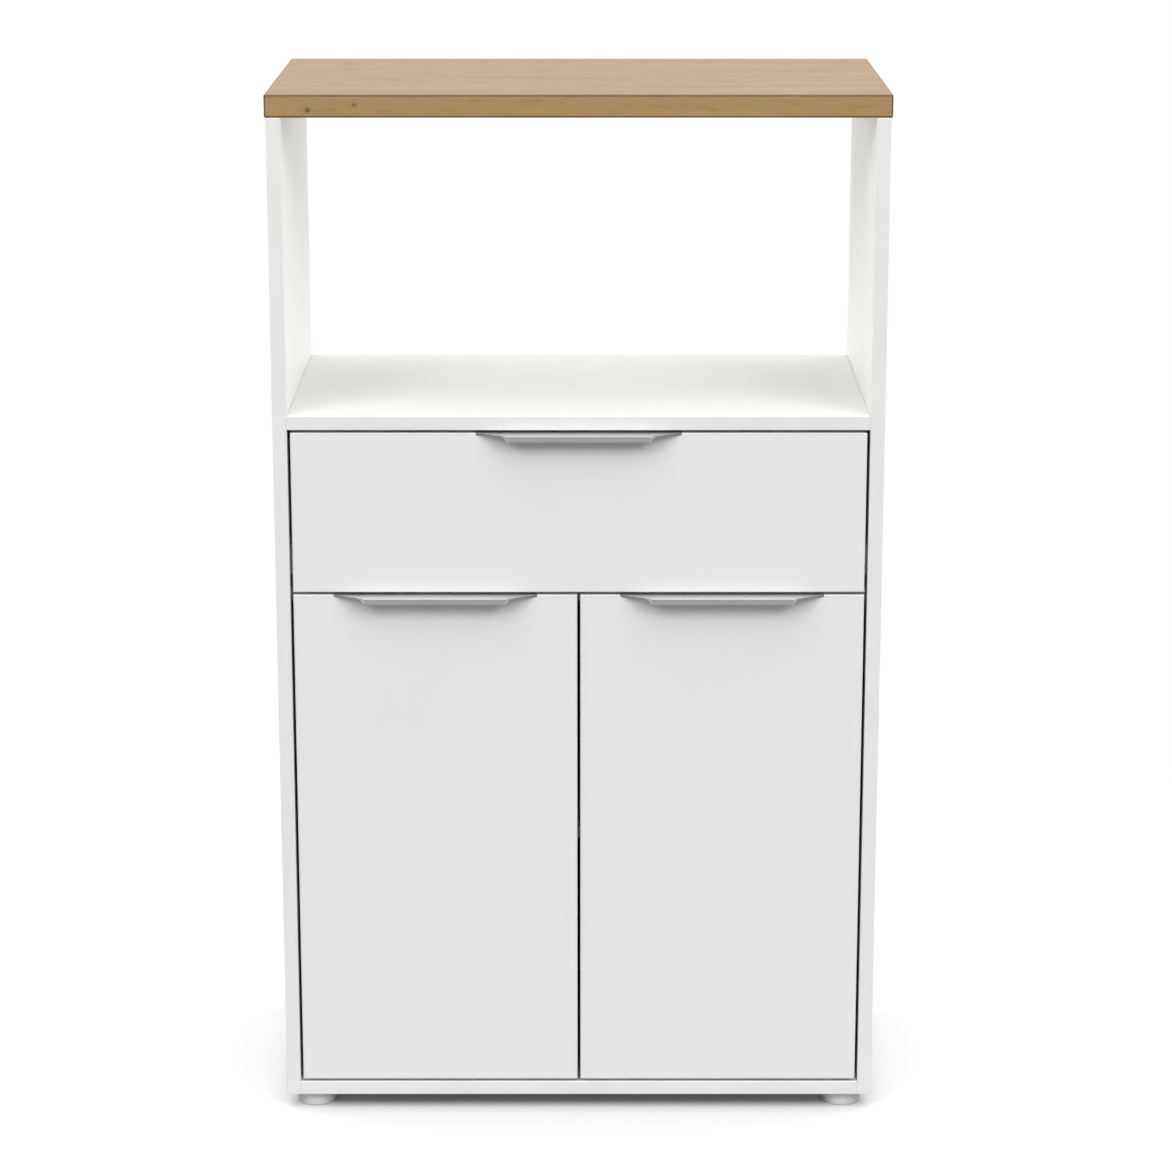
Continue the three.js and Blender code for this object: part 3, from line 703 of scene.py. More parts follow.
@dataclass(frozen=True)
class Chipboard:
    """Bare chipboard in holes and grooves: pale and dark chips pressed with glue."""

    name: str = "chipboard"
    brown: Colour = (0.42, 0.27, 0.14)
    pale: Colour = (0.68, 0.5, 0.3)
    gaps: Colour = (0.2, 0.12, 0.06)
    relief: float = 0.0002
    roughness: float = 0.85

    def material(self) -> bpy.types.Material:
        """Builds the finish.

        Returns:
            The material.
        """
        g = Graph(self.name)
        place = g.scaled(1.0, 1.0, 1.6)
        tone = g.node("ShaderNodeSeparateColor", {0: g.cells(place, 700.0, "Color")}).outputs[0]
        colour = g.mix(self.brown, self.pale, tone)
        colour = g.mix(colour, self.gaps, g.span(g.cells(place, 700.0), 0.5, 0.75, 0, 0.6))
        chips = g.bump(g.cells(place, 500.0), self.relief, 0.7)
        return g.surface(Base_Color=colour, Roughness=self.roughness, IOR=1.4, Normal=chips)


@dataclass(frozen=True)
class Knot:
    """A small dark knot in the oak: its middle, its length along the grain and its strength."""

    x: float
    y: float
    z: float
    length: float
    strength: float


@dataclass(frozen=True)
class Oak:
    """Light oak decor with its grain along x: streaks, early-wood pores and a few small knots.

    Its tone is a sum of streaks, growth lines, breaks and fibres, each with its share, and of dark
    and pale flecks. The tones are those at which it is pale, middle and deep.
    """

    name: str
    pale: Colour
    middle: Colour
    deep: Colour
    pores: float = 0.35
    patches: float = 0.0
    knots: tuple[Knot, ...] = ()
    shares: tuple[float, float, float, float] = (0.46, 0.12, 0.3, 0.16)
    dark_flecks: float = 0.46
    pale_flecks: float = 0.3
    tones: tuple[float, float, float] = (0.2, 0.56, 1.05)
    relief: float = 0.00005

    def material(self) -> bpy.types.Material:
        """Builds the finish.

        Streaks are noise stretched about 12 times along x, bent by a slower noise, and broken up by
        a second one. Growth lines are the sine of that noise. Flecks are the highest and lowest
        parts of a shorter noise. Pores are a finer noise stretched 27 times, kept where it is
        highest and the streaks are dark.

        Returns:
            The material.
        """
        g = Graph(self.name)
        bend = g.span(g.noise(g.scaled(3.0, 4.0, 4.0), 1.0, 2.0), 0.2, 0.8, -0.7, 0.7)
        shift = g.node("ShaderNodeCombineXYZ", {1: bend, 2: bend}).outputs[0]
        along = g.vector("ADD", g.scaled(3.2, 38.0, 38.0), shift).outputs[0]
        streak = g.noise(along, 1.0, 6.0, 0.6)
        growth = g.calc("SINE", g.calc("MULTIPLY", streak, 30.0))
        fibre = g.noise(g.scaled(26.0, 900.0, 900.0), 1.0, 3.0, 0.6)
        broken = g.noise(g.scaled(11.0, 120.0, 120.0), 1.0, 4.0, 0.6)
        streaks, lines, breaks, fibres = self.shares
        tone = g.calc("ADD", g.calc("MULTIPLY", g.span(streak, 0.3, 0.7), streaks),
                      g.calc("MULTIPLY", g.span(growth, -1.0, 1.0), lines))
        tone = g.calc("ADD", tone, g.calc("MULTIPLY", broken, breaks))
        tone = g.calc("ADD", tone, g.calc("MULTIPLY", fibre, fibres))
        fleck = g.noise(g.scaled(36.0, 230.0, 230.0), 1.0, 2.0, 0.5)
        tone = g.calc("ADD", tone, g.span(fleck, 0.57, 0.7, 0.0, self.dark_flecks))
        tone = g.calc("SUBTRACT", tone, g.span(fleck, 0.43, 0.3, 0.0, self.pale_flecks))
        low, centre, high = self.tones
        colour = g.mix(self.pale, self.middle, g.span(tone, low, centre))
        colour = g.mix(colour, self.deep, g.span(tone, centre, high))
        if self.patches:
            colour = self.patched(g, colour)
        dash = g.noise(g.scaled(70.0, 1900.0, 1900.0), 1.0, 2.0, 0.5)
        open_pores = g.calc("MULTIPLY", g.span(dash, 0.6, 0.7), g.span(tone, 0.3, 0.7, 0.25, 1.0))
        pore_share = g.calc("MULTIPLY", open_pores, self.pores)
        colour = g.mix(colour, darker(self.deep, 0.5), pore_share)
        for knot in self.knots:
            colour = self.knotted(g, colour, knot)
        relief = g.calc("SUBTRACT", g.calc("MULTIPLY", fibre, 0.4), open_pores)
        normal = g.bump(relief, self.relief, 0.45)
        rough = g.span(tone, 0.1, 0.9, 0.46, 0.56)
        return g.surface(Base_Color=colour, Roughness=rough, IOR=1.5, Normal=normal)

    def patched(self, g: Graph, colour: Socket) -> Socket:
        """Adds the redder and greener patches, a few centimetres wide, of a printed edge band.

        Args:
            g: The material's graph.
            colour: The wood without them.

        Returns:
            The wood with them.
        """
        warm = g.noise(g.scaled(26.0, 9.0, 20.0), 1.0, 2.0, 0.55)
        cool = g.noise(g.scaled(33.0, 9.0, 26.0, (5.0, 2.0, 7.0)), 1.0, 2.0, 0.5)
        redder = g.mix(colour, (1.06, 0.95, 0.99), 1.0, "MULTIPLY")
        colour = g.mix(colour, redder, g.span(warm, 0.46, 0.56, 0.0, self.patches))
        greener = g.mix(colour, (0.99, 1.035, 0.86), 1.0, "MULTIPLY")
        return g.mix(colour, greener, g.span(cool, 0.5, 0.58, 0.0, self.patches))

    def knotted(self, g: Graph, colour: Socket, knot: Knot) -> Socket:
        """Adds a knot: dark where a warped distance from its middle is small, with a brown halo.

        Args:
            g: The material's graph.
            colour: The wood without it.
            knot: The knot.

        Returns:
            The wood with it.
        """
        shape = (1.0 / knot.length, 1.3 / knot.length, 1.1 / knot.length)
        shift = tuple(-c * s for c, s in zip((knot.x, knot.y, knot.z), shape))
        warp = g.node("ShaderNodeTexNoise", {"Vector": g.place, "Scale": 260.0}).outputs["Color"]
        bent = g.vector("MULTIPLY", warp, (0.8, 0.8, 0.8)).outputs[0]
        warped = g.vector("ADD", g.scaled(*shape, shift), bent).outputs[0]
        away = g.vector("DISTANCE", warped, (0.4, 0.4, 0.4)).outputs["Value"]
        colour = g.mix(colour, self.deep, g.span(away, 0.6, 2.6, knot.strength * 0.45, 0.0))
        core = darker(self.deep, 0.42)
        return g.mix(colour, core, g.span(away, 0.45, 1.1, knot.strength, 0.0))


@dataclass(frozen=True)
class Hardboard:
    """Fibreboard, white on the side that looks along -Y or up and bare brown fibre on the other."""

    name: str
    painted_axis: str = "Y"
    painted_sign: int = -1
    brown: Colour = (0.30, 0.175, 0.085)
    pale: Colour = (0.44, 0.285, 0.155)
    cloudy: Colour = (0.36, 0.225, 0.115)
    strands: Colour = (0.2, 0.11, 0.05)
    paint: Colour = (0.82, 0.82, 0.8)
    paint_shade: Colour = (0.79, 0.79, 0.77)
    roughness: float = 0.72
    paint_roughness: float = 0.45
    relief: float = 0.00006

    def material(self) -> bpy.types.Material:
        """Builds the finish.

        Returns:
            The material.
        """
        g = Graph(self.name)
        fibre = g.noise(g.place, 260.0, 6.0, 0.75)
        strand = g.noise(g.scaled(120.0, 120.0, 900.0), 1.0, 4.0, 0.7)
        cloud = g.noise(g.place, 7.0, 4.0, 0.6)
        bare = g.mix(self.brown, self.pale, g.span(fibre, 0.3, 0.7))
        bare = g.mix(bare, self.cloudy, g.span(cloud, 0.35, 0.65, 0.0, 0.6))
        bare = g.mix(bare, self.strands, g.span(strand, 0.62, 0.75, 0.0, 0.5))
        white = g.mix(self.paint, self.paint_shade, g.span(fibre, 0.3, 0.7))
        side = g.upward(self.painted_axis)
        painted = g.calc("GREATER_THAN", g.calc("MULTIPLY", side, float(self.painted_sign)), 0.5)
        colour = g.mix(bare, white, painted)
        rough = g.span(painted, 0.0, 1.0, self.roughness, self.paint_roughness)
        normal = g.bump(fibre, self.relief, 0.5)
        return g.surface(Base_Color=colour, Roughness=rough, IOR=1.45, Normal=normal)


@dataclass(frozen=True)
class Anodised:
    """Silver anodised aluminium with fine lines along x from the drawing and brushing."""

    name: str = "matt_aluminium"
    colour: Colour = (0.77, 0.77, 0.758)
    roughness: float = 0.42
    metal: float = 0.85
    lines: float = 0.000006

    def material(self) -> bpy.types.Material:
        """Builds the finish.

        Returns:
            The material.
        """
        g = Graph(self.name)
        lines = g.noise(g.scaled(9.0, 2600.0, 2600.0), 1.0, 3.0, 0.65)
        cloud = g.noise(g.scaled(14.0, 60.0, 60.0), 1.0, 3.0)
        colour = g.mix(self.colour, darker(self.colour, 0.9), g.span(lines, 0.3, 0.7))
        low, high = self.roughness - 0.05, self.roughness + 0.05
        rough = g.calc("ADD", g.span(lines, 0.25, 0.75, low, high),
                       g.span(cloud, 0.3, 0.7, -0.02, 0.02))
        normal = g.bump(lines, self.lines, 0.5)
        return g.surface(Base_Color=colour, Metallic=self.metal, Roughness=rough, Normal=normal)


@dataclass(frozen=True)
class Plated:
    """Bright zinc or nickel plate on pressed steel, with faint handling marks."""

    name: str = "plated_steel"
    colour: Colour = (0.66, 0.66, 0.65)
    roughness: float = 0.27
    relief: float = 0.00002

    def material(self) -> bpy.types.Material:
        """Builds the finish.

        Returns:
            The material.
        """
        g = Graph(self.name)
        cloud = g.noise(g.place, 120.0, 5.0, 0.6)
        marks = g.noise(g.scaled(300.0, 2400.0, 900.0), 1.0, 3.0, 0.7)
        colour = g.mix(self.colour, darker(self.colour, 0.82), g.span(cloud, 0.35, 0.65))
        rough = g.span(marks, 0.3, 0.7, self.roughness - 0.06, self.roughness + 0.1)
        normal = g.bump(cloud, self.relief, 0.35)
        return g.surface(Base_Color=colour, Metallic=1.0, Roughness=rough, Normal=normal)


@dataclass(frozen=True)
class Coated:
    """White powder coat on rolled steel, with its orange-peel skin."""

    name: str = "white_coated_steel"
    colour: Colour = (0.8, 0.8, 0.785)
    roughness: tuple[float, float] = (0.3, 0.38)
    relief: float = 0.00004

    def material(self) -> bpy.types.Material:
        """Builds the finish.

        Returns:
            The material.
        """
        g = Graph(self.name)
        peel = g.noise(g.place, 620.0, 2.0, 0.5)
        grime = g.span(g.noise(g.place, 30.0, 5.0, 0.65), 0.5, 0.75, 0.0, 0.35)
        colour = g.mix(self.colour, darker(self.colour, 0.9), grime)
        rough = g.span(peel, 0.3, 0.7, *self.roughness)
        normal = g.bump(peel, self.relief, 0.5)
        return g.surface(Base_Color=colour, Roughness=rough, IOR=1.5, Normal=normal)


@dataclass(frozen=True)
class Moulded:
    """Moulded plastic: its colour, its gloss, how far light soaks into it, and a fine grain."""

    name: str
    colour: Colour
    roughness: float = 0.45
    soak: float = 0.0
    depth: float = 0.002
    grain: float = 0.00003

    def material(self) -> bpy.types.Material:
        """Builds the finish.

        Returns:
            The material.
        """
        g = Graph(self.name)
        flow = g.noise(g.place, 70.0, 4.0, 0.55)
        grain = g.noise(g.place, 1700.0, 2.0, 0.6)
        colour = g.mix(self.colour, darker(self.colour, 0.93), g.span(flow, 0.35, 0.65))
        rough = g.span(grain, 0.3, 0.7, self.roughness - 0.04, self.roughness + 0.05)
        normal = g.bump(grain, self.grain, 0.4)
        return g.surface(Base_Color=colour, Roughness=rough, IOR=1.48, Normal=normal,
                         Subsurface_Weight=self.soak, Subsurface_Scale=self.depth)


class Finishes:
    """Every finish of the cabinet, made once and shared by its pieces."""

    def __init__(self) -> None:
        """Builds the materials."""
        kinds = (Melamine(), PlainBand(), GlueLine(), Chipboard())
        self.white = tuple(kind.material() for kind in kinds)
        face_knots = (
            Knot(-0.236, 0.118, 1.035, 0.009, 0.3),
            Knot(0.142, -0.045, 1.035, 0.011, 0.22),
        )
        band_knots = (
            Knot(-0.2582, -0.158, 1.0205, 0.0038, 1.0),
            Knot(-0.2135, -0.158, 1.025, 0.0034, 0.95),
        )
        oaks = (
            Oak("oak_decor", (0.317, 0.211, 0.119), (0.287, 0.185, 0.099),
                (0.239, 0.146, 0.073), knots=face_knots),
            Oak("oak_edge_band", (0.43, 0.28, 0.127), (0.39, 0.246, 0.106),
                (0.335, 0.203, 0.084), 0.2, 0.55, band_knots),
            # the arris oak is far darker than the decor and the band: painted shade along every
            # rounded edge
            Oak("oak_arris", (0.16, 0.1, 0.046), (0.125, 0.074, 0.032), (0.09, 0.05, 0.02)),
        )
        self.oak = tuple(oak.material() for oak in oaks)
        self.back = (Hardboard("cabinet_back_sheet").material(),)
        self.tray = (Hardboard("drawer_bottom_sheet", "Z", 1).material(),)
        self.aluminium = (Anodised().material(),
                          Anodised("cut_aluminium", (0.7, 0.7, 0.69), 0.5, 0.3).material())
        self.steel = (Plated().material(),)
        self.runner = (Coated().material(), self.steel[0])
        self.nylon = (Moulded("white_nylon", (0.78, 0.765, 0.72), 0.4, 0.15).material(),)
        self.pin = (Moulded("pin_nylon", (0.8, 0.79, 0.76), 0.42, 0.15).material(),)
        self.glide = (Moulded("grey_glide", (0.84, 0.84, 0.83), 0.34, 0.3, 0.004).material(),
                      self.steel[0])
        self.rubber = (Moulded("clear_rubber", (0.7, 0.71, 0.7), 0.3, 0.5, 0.003).material(),)


# ---------- Pieces ----------


@dataclass
class Bench:
    """Turns surfaces into pieces that ride on the CAD bodies."""

    made: list[str] = field(default_factory=list)

    def piece(self, name: str, surface: Surface, finishes: Sequence[bpy.types.Material],
              body: str, slot: str, replaces: Sequence[str] = ()) -> None:
        """Makes one piece, with its place in its mesh.

        Args:
            name: The piece's name.
            surface: Its faces, in the frame.
            finishes: Its materials, in the order of the surface's finish numbers.
            body: The CAD body that it moves with.
            slot: The record's material slot; not used.
            replaces: The CAD nodes that it stands for.
        """
        mesh = surface.mesh(name)
        for finish in finishes:
            mesh.materials.append(finish)
        made = bpy.data.objects.new(name, mesh)
        bpy.context.scene.collection.objects.link(made)
        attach(made, body)
        if replaces:
            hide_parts(*replaces)
        self.made.append(name)
        log.info("%s: %d faces, rides on %s", name, len(mesh.polygons), body)


def span_of(node: str) -> tuple[np.ndarray, np.ndarray]:
    """The lowest and highest corners of a CAD node, as arrays."""
    low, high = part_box(node)
    return np.array(low, float), np.array(high, float)


def middle_of(node: str) -> np.ndarray:
    """The middle of a CAD node's box."""
    low, high = span_of(node)
    return (low + high) / 2


def face_of(node: str, sign: int) -> float:
    """The x of a CAD node's lowest face, for -1, or of its highest, for 1."""
    return span_of(node)[0 if sign < 0 else 1][0]


def body_of(node: str) -> str:
    """The body that the record gives a CAD node."""
    return frame["nodes"][node]["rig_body"]


def local(point: np.ndarray, axis: Axis) -> np.ndarray:
    """A world point's (u, v, w) in the plane across an axis."""
    return point[..., np.argsort(axis.value)]


BANDED = (0, 1, 2, 3)    # finishes of a board's faces, bands, glue lines and holes


@dataclass
class Board:
    """A straight board between two opposite corners, with its edges banded."""

    low: np.ndarray
    high: np.ndarray
    axis: Axis
    arris: float = 0.7 * MM
    seam: float = 0.12 * MM
    pockets: Sequence[Pocket] = ()

    def surface(self) -> Surface:
        """The board's faces: its section is the oblong between the corners, across its axis.

        Returns:
            The faces.
        """
        (a, b, low), (c, d, high) = local(self.low, self.axis), local(self.high, self.axis)
        outline = oblong((a, b), (c, d), self.arris)
        return slab(outline, low, high, self.axis, self.arris, self.pockets, self.seam,
                    finishes=BANDED)


@dataclass
class Part:
    """One sub-assembly, with the bench that makes its pieces and the finishes that dress them."""

    bench: Bench
    finishes: Finishes

    def build(self) -> None:
        """Makes its pieces."""
        raise NotImplementedError

    def white(self, name: str, surface: Surface, body: str, node: str) -> None:
        """Makes a piece of white board in place of a CAD node."""
        self.bench.piece(name, surface, self.finishes.white, body, "white_board", [node])


@dataclass
class Carcass(Part):
    """The white box, its oak top, its back sheet and what is fixed to them.

    A cam stands proud at its wall and at its face. Its socket is a radius at the mouth, one at the
    floor, and the height of the floor. Its place is measured back from its board's front edge.
    """

    top_arris: float = 1.7 * MM
    top_steps: int = 5
    pin_hole: float = 2.8 * MM
    pin_hole_depth: float = 8.3 * MM
    pin_pitch: float = 32 * MM
    pin_rows: int = 3
    sheet_corner: float = 0.4 * MM
    sheet_arris: float = 0.25 * MM
    nail_radius: float = 2.2 * MM
    nail_rim: float = 0.3 * MM
    nail_height: float = 0.7 * MM
    nail_inset: float = 5 * MM
    nails_across: int = 6
    nails_up: int = 7
    cam_radius: float = 7.5 * MM
    cam_bevel: float = 0.6 * MM
    cam_proud: tuple[float, float] = (0.2 * MM, 0.4 * MM)
    cam_socket: tuple[float, float, float] = (3 * MM, 2.2 * MM, 0.05 * MM)
    cam_inset: float = 24 * MM
    shelf_cams: tuple[float, ...] = (50 * MM, 270 * MM)
    rail_cams: tuple[float, ...] = (30 * MM,)

    def build(self) -> None:
        """Makes the pieces of the carcass."""
        self.top()
        for node in ("compartment_shelf", "bottom_panel", "cross_rail"):
            self.white(f"{node}_board", Board(*span_of(node), Axis.Z).surface(), "carcass", node)
        for side in Side:
            self.side_panel(side)
        self.back()
        self.cams()

    def top(self) -> None:
        """Makes the oak top: decor faces, banded edges, and painted shade along every arris.

        A face belongs to an arris where its normals lie along no axis.
        """
        (a, b, w0), (c, d, w1) = span_of("top_board")
        outline = oblong((a, b), (c, d), self.top_arris, self.top_steps)
        shell = slab(outline, w0, w1, Axis.Z, self.top_arris, steps=self.top_steps)
        corners, normals = np.concatenate(shell.corners), np.concatenate(shell.normals)
        straight = np.abs(normals).max(axis=2).min(axis=1) >= 0.995
        level = np.abs(normals[..., 2]).min(axis=1) > 0.5
        # finish 2, on every arris, is a very dark oak: painted shade along the rounded edges
        finish = np.where(straight, np.where(level, 0, 1), 2)
        whole = Surface([corners], [normals], [finish])
        self.bench.piece("oak_top", whole, self.finishes.oak, "carcass", "oak_board", ["top_board"])

    def side_panel(self, side: Side) -> None:
        """Makes a side panel, with the holes for the shelf pins in its inner face.

        Args:
            side: The side that it stands on.
        """
        node = f"{side.word}_side_panel"
        rows = (np.arange(self.pin_rows) - (self.pin_rows - 1) / 2) * self.pin_pitch
        holes = []
        for end in End:
            _, y, z = middle_of(f"{end.word}_{side.word}_shelf_pin")
            shapes = [circle(y, z + row, self.pin_hole, 16) for row in rows]
            holes += [Pocket(s, self.pin_hole_depth, side is Side.LEFT) for s in shapes]
        surface = Board(*span_of(node), Axis.X, pockets=holes).surface()
        self.white(f"{node}_board", surface, "carcass", node)

    def back(self) -> None:
        """Makes the hardboard back and the row of nails along each of its edges."""
        low, high = span_of("back_panel")
        (a, b, w0), (c, d, w1) = local(low, Axis.Y), local(high, Axis.Y)
        outline = oblong((a, b), (c, d), self.sheet_corner)
        sheet = slab(outline, w0, w1, Axis.Y, self.sheet_arris)
        self.bench.piece("back_sheet", sheet, self.finishes.back, "carcass", "hardboard",
                         ["back_panel"])
        xs = np.linspace(low[0] + self.nail_inset, high[0] - self.nail_inset, self.nails_across)
        zs = np.linspace(low[2] + self.nail_inset, high[2] - self.nail_inset, self.nails_up)
        spots = [(x, z) for x in xs for z in (zs[0], zs[-1])]
        spots += [(x, z) for x in (xs[0], xs[-1]) for z in zs[1:-1]]
        r, h, e = self.nail_radius, self.nail_height, self.nail_rim
        head = turned([
            arc(r - e, 0.25 * MM, e, -20, 60, 3) + [(r * 0.5, h * 0.92), (0, h)],
        ], count=14)
        stand = facing(Axis.Y)
        nails = Surface().add(*(head.placed(stand, (x, high[1], z)) for x, z in spots))
        self.bench.piece("back_nails", nails, self.finishes.steel, "carcass", "plated_steel")

    def cams(self) -> None:
        """Makes the locking cams under the shelf and the rail, flush but for a hair."""
        r, bevel, (wall, proud) = self.cam_radius, self.cam_bevel, self.cam_proud
        mouth, floor, sunk = self.cam_socket
        face = turned([
            [(r, 0), (r, wall)],
            [(r, wall), (r - bevel, proud), (mouth, proud)],
            [(mouth, proud), (floor, sunk), (0, sunk)],
        ], count=28)
        whole = Surface()
        under = facing(Axis.Z, -1)
        for node, ys in (("compartment_shelf", self.shelf_cams), ("cross_rail", self.rail_cams)):
            low, high = span_of(node)
            for x in (low[0] + self.cam_inset, high[0] - self.cam_inset):
                whole.add(*(face.placed(under, (x, low[1] + y, low[2])) for y in ys))
        self.bench.piece("locking_cams", whole, self.finishes.steel, "carcass", "plated_steel")


@dataclass
class Shelving(Part):
    """The loose shelf and the four spoon pins that carry it. A tongue is long, wide and thick."""

    pin_radius: float = 2.5 * MM
    pin_depth: float = 8 * MM
    collar_radius: float = 4.5 * MM
    collar: float = 1.5 * MM
    tongue: tuple[float, float, float] = (7 * MM, 6 * MM, 4 * MM)
    rounding: float = 0.3 * MM

    def build(self) -> None:
        """Makes the shelf and its pins."""
        board = Board(*span_of("loose_shelf"), Axis.Z).surface()
        self.white("loose_shelf_board", board, "carcass", "loose_shelf")
        for side in Side:
            for end in End:
                node = f"{end.word}_{side.word}_shelf_pin"
                face = face_of(node, side.value) - side.value * self.pin_depth
                _, y, z = middle_of(node)
                surface = self.pin().placed(np.diag([-side.value, 1.0, 1.0]), (face, y, z))
                self.bench.piece(f"{end.word}_{side.word}_spoon_pin", surface, self.finishes.pin,
                                 "carcass", "pin_plastic", [node])

    def pin(self) -> Surface:
        """A pin along +x from the panel's face: a round shank, a collar and a flat tongue.

        Returns:
            The pin's faces.
        """
        r, c, e, foot = self.pin_radius, self.collar_radius, self.rounding, -self.pin_depth
        stem = turned([
            [(0, foot), (r - 2 * e, foot)],
            arc(r - 2 * e, foot + 2 * e, 2 * e, -90, 0, 3) + [(r, 0)],
            [(r, 0), (c - e, 0)],
            arc(c - e, e, e, -90, 0, 3) + arc(c - e, self.collar - e, e, 0, 90, 3),
            [(c - e, self.collar), (0, self.collar)],
        ], Axis.X, count=24)
        length, width, thick = self.tongue
        section = oblong((-width / 2, r - thick), (width / 2, r), 0.8 * MM, 4)
        tongue = slab(section, self.collar * 0.6, self.collar + length, Axis.X, 2 * e)
        return stem.add(tongue)


@dataclass
class Glides(Part):
    """The four round plastic glides, each with a nail through its middle."""

    radius: float = 21.5 * MM
    taper: float = 1.5 * MM
    rounding: float = 1.2 * MM
    recess: float = 6 * MM
    recess_depth: float = 5 * MM
    recess_lip: float = 0.8 * MM
    draft: float = 0.6 * MM
    nail_radius: float = 3.2 * MM
    step: float = 0.5 * MM

    def build(self) -> None:
        """Makes the glides."""
        for side in Side:
            for end in End:
                node = f"{end.word}_{side.word}_foot"
                x, y, _ = middle_of(node)
                surface = self.glide(span_of(node)[1][2]).moved(x, y)
                self.bench.piece(f"{end.word}_{side.word}_glide", surface, self.finishes.glide,
                                 "carcass", "glide_plastic", [node])

    def glide(self, height: float) -> Surface:
        """A glide on the floor: a tapered puck, hollow under its middle, a step below its top.

        Args:
            height: The height of its top.

        Returns:
            Its faces, the nail's head first, in the second finish.
        """
        foot, e, lip = self.radius - self.taper, self.rounding, self.recess_lip
        deep, narrow, neck = self.recess_depth, self.recess - self.draft, self.radius - self.step
        nail = self.nail_radius
        wall = arc(foot - e, e, e, -90, 4, 5) + [(self.radius - 0.2 * MM, height - 2.4 * MM)]
        return turned([
            [(0, deep - 1.2 * MM), (2.4 * MM, deep - 0.9 * MM), (nail, deep)],
            [(nail, deep), (narrow, deep)],
            [(narrow, deep), (self.recess, lip)],
            arc(self.recess + lip, lip, lip, 180, 270, 4),
            [(self.recess + lip, 0), (foot - e, 0)],
            wall,
            [wall[-1], (neck, height - 2.2 * MM)],
            [(neck, height - 2.2 * MM), (neck, height - 1.6 * MM)],
            [(neck, height - 1.6 * MM), (self.radius, height - 1.4 * MM)],
            [(self.radius, height - 1.4 * MM), (self.radius, height)],
            [(self.radius, height), (0, height)],
        ], count=64, finishes=[1] + [0] * 10)


@dataclass
class EdgePull(Part):
    """An aluminium strip bent over the top edge of a front: lip, web and rear flange.

    Its ends are cut at a slant, so that it is longest at the face of the panel.
    """

    body: str
    half: float = 100 * MM
    lip_half: float = 70.5 * MM
    lip_foot_half: float = 67.5 * MM
    reach: float = 15 * MM
    lip: float = 6 * MM
    metal: float = 2 * MM
    thin: float = 1.4 * MM
    drop: float = 18 * MM
    board: float = 14 * MM
    arris: float = 0.22 * MM
    screw_inset: float = 20 * MM
    head_radius: float = 3.2 * MM
    head_height: float = 1.8 * MM
    head_turn: float = 20.0
    shank_radius: float = 1.5 * MM
    shank_start: float = 1.5 * MM
    shank_end: float = 10 * MM

    def half_length(self, section: np.ndarray) -> np.ndarray:
        """Half the length at points (y, z) of the section.

        It falls evenly from half to lip_half over the reach, and by a little more down the lip.

        Args:
            section: The points.

        Returns:
            The half length at each.
        """
        y, z = section[..., 0], section[..., 1]
        slant = np.clip(-y / self.reach, 0, 1)
        down = np.clip((-z - self.metal) / (self.lip - self.metal), 0, 1) * (y < 0)
        return (self.half - (self.half - self.lip_half) * slant
                - (self.lip_half - self.lip_foot_half) * down)

    def strip(self) -> Surface:
        """The strip, with its origin at the top edge of the panel's face.

        Returns:
            Its faces.
        """
        front, back, t, thin = -self.reach, self.board + self.metal, self.metal, self.thin
        corners = [
            (front, -self.lip), (front + thin, -self.lip), (front + thin, -thin), (0, -thin),
            (0, -t), (self.board, -t), (self.board, -self.drop), (back, -self.drop), (back, 0),
            (0, 0), (front, 0),
        ]
        radii = np.array([0.3, 0.3, 0.5, 0, 0, 0.3, 0.3, 0.3, 1.2, 0, 0.7]) * MM
        return slab(rounded(corners, radii, 4), lambda p: -self.half_length(p), self.half_length,
                    Axis.X, self.arris, steps=2, finishes=(1, 0, 0, 0))

    def screw(self) -> Surface:
        """A fixing screw, with its origin under its head and its shank towards -y.

        Returns:
            Its faces: the head, the shank and the flat ring under the head.
        """
        r = self.shank_radius
        head = screw_head(self.head_radius, self.head_height, self.head_turn)
        line = arc(0, 0, r, -90, 0, 3) + [(r, self.shank_end - self.shank_start)]
        shank = turned([line], Axis.Y, (0, -self.shank_end, 0), 16)
        under = turned([[(r, 0), (self.head_radius, 0)]], Axis.Y, count=48)
        return head.placed(facing(Axis.Y)).add(shank, under)

    def build(self) -> None:
        """Makes the pull and its two screws, where the CAD pull is."""
        node = f"{self.body}_pull"
        low, high = span_of(node)
        middle, y, z = (low[0] + high[0]) / 2, low[1] + self.reach, high[2]
        pull = self.strip().moved(middle, y, z)
        self.bench.piece(f"{self.body}_edge_pull", pull, self.finishes.aluminium, self.body,
                         "pull_metal", [node])
        for number, sign in ((1, -1), (2, 1)):
            x = sign * (self.half - self.screw_inset)
            place = (middle + x, y + self.board + self.metal, z - (self.metal + self.drop) / 2)
            self.bench.piece(f"{self.body}_fixing_screw_{number}", self.screw().moved(*place),
                             self.finishes.steel, self.body, "plated_steel",
                             [f"{node}_screw_{number}"])


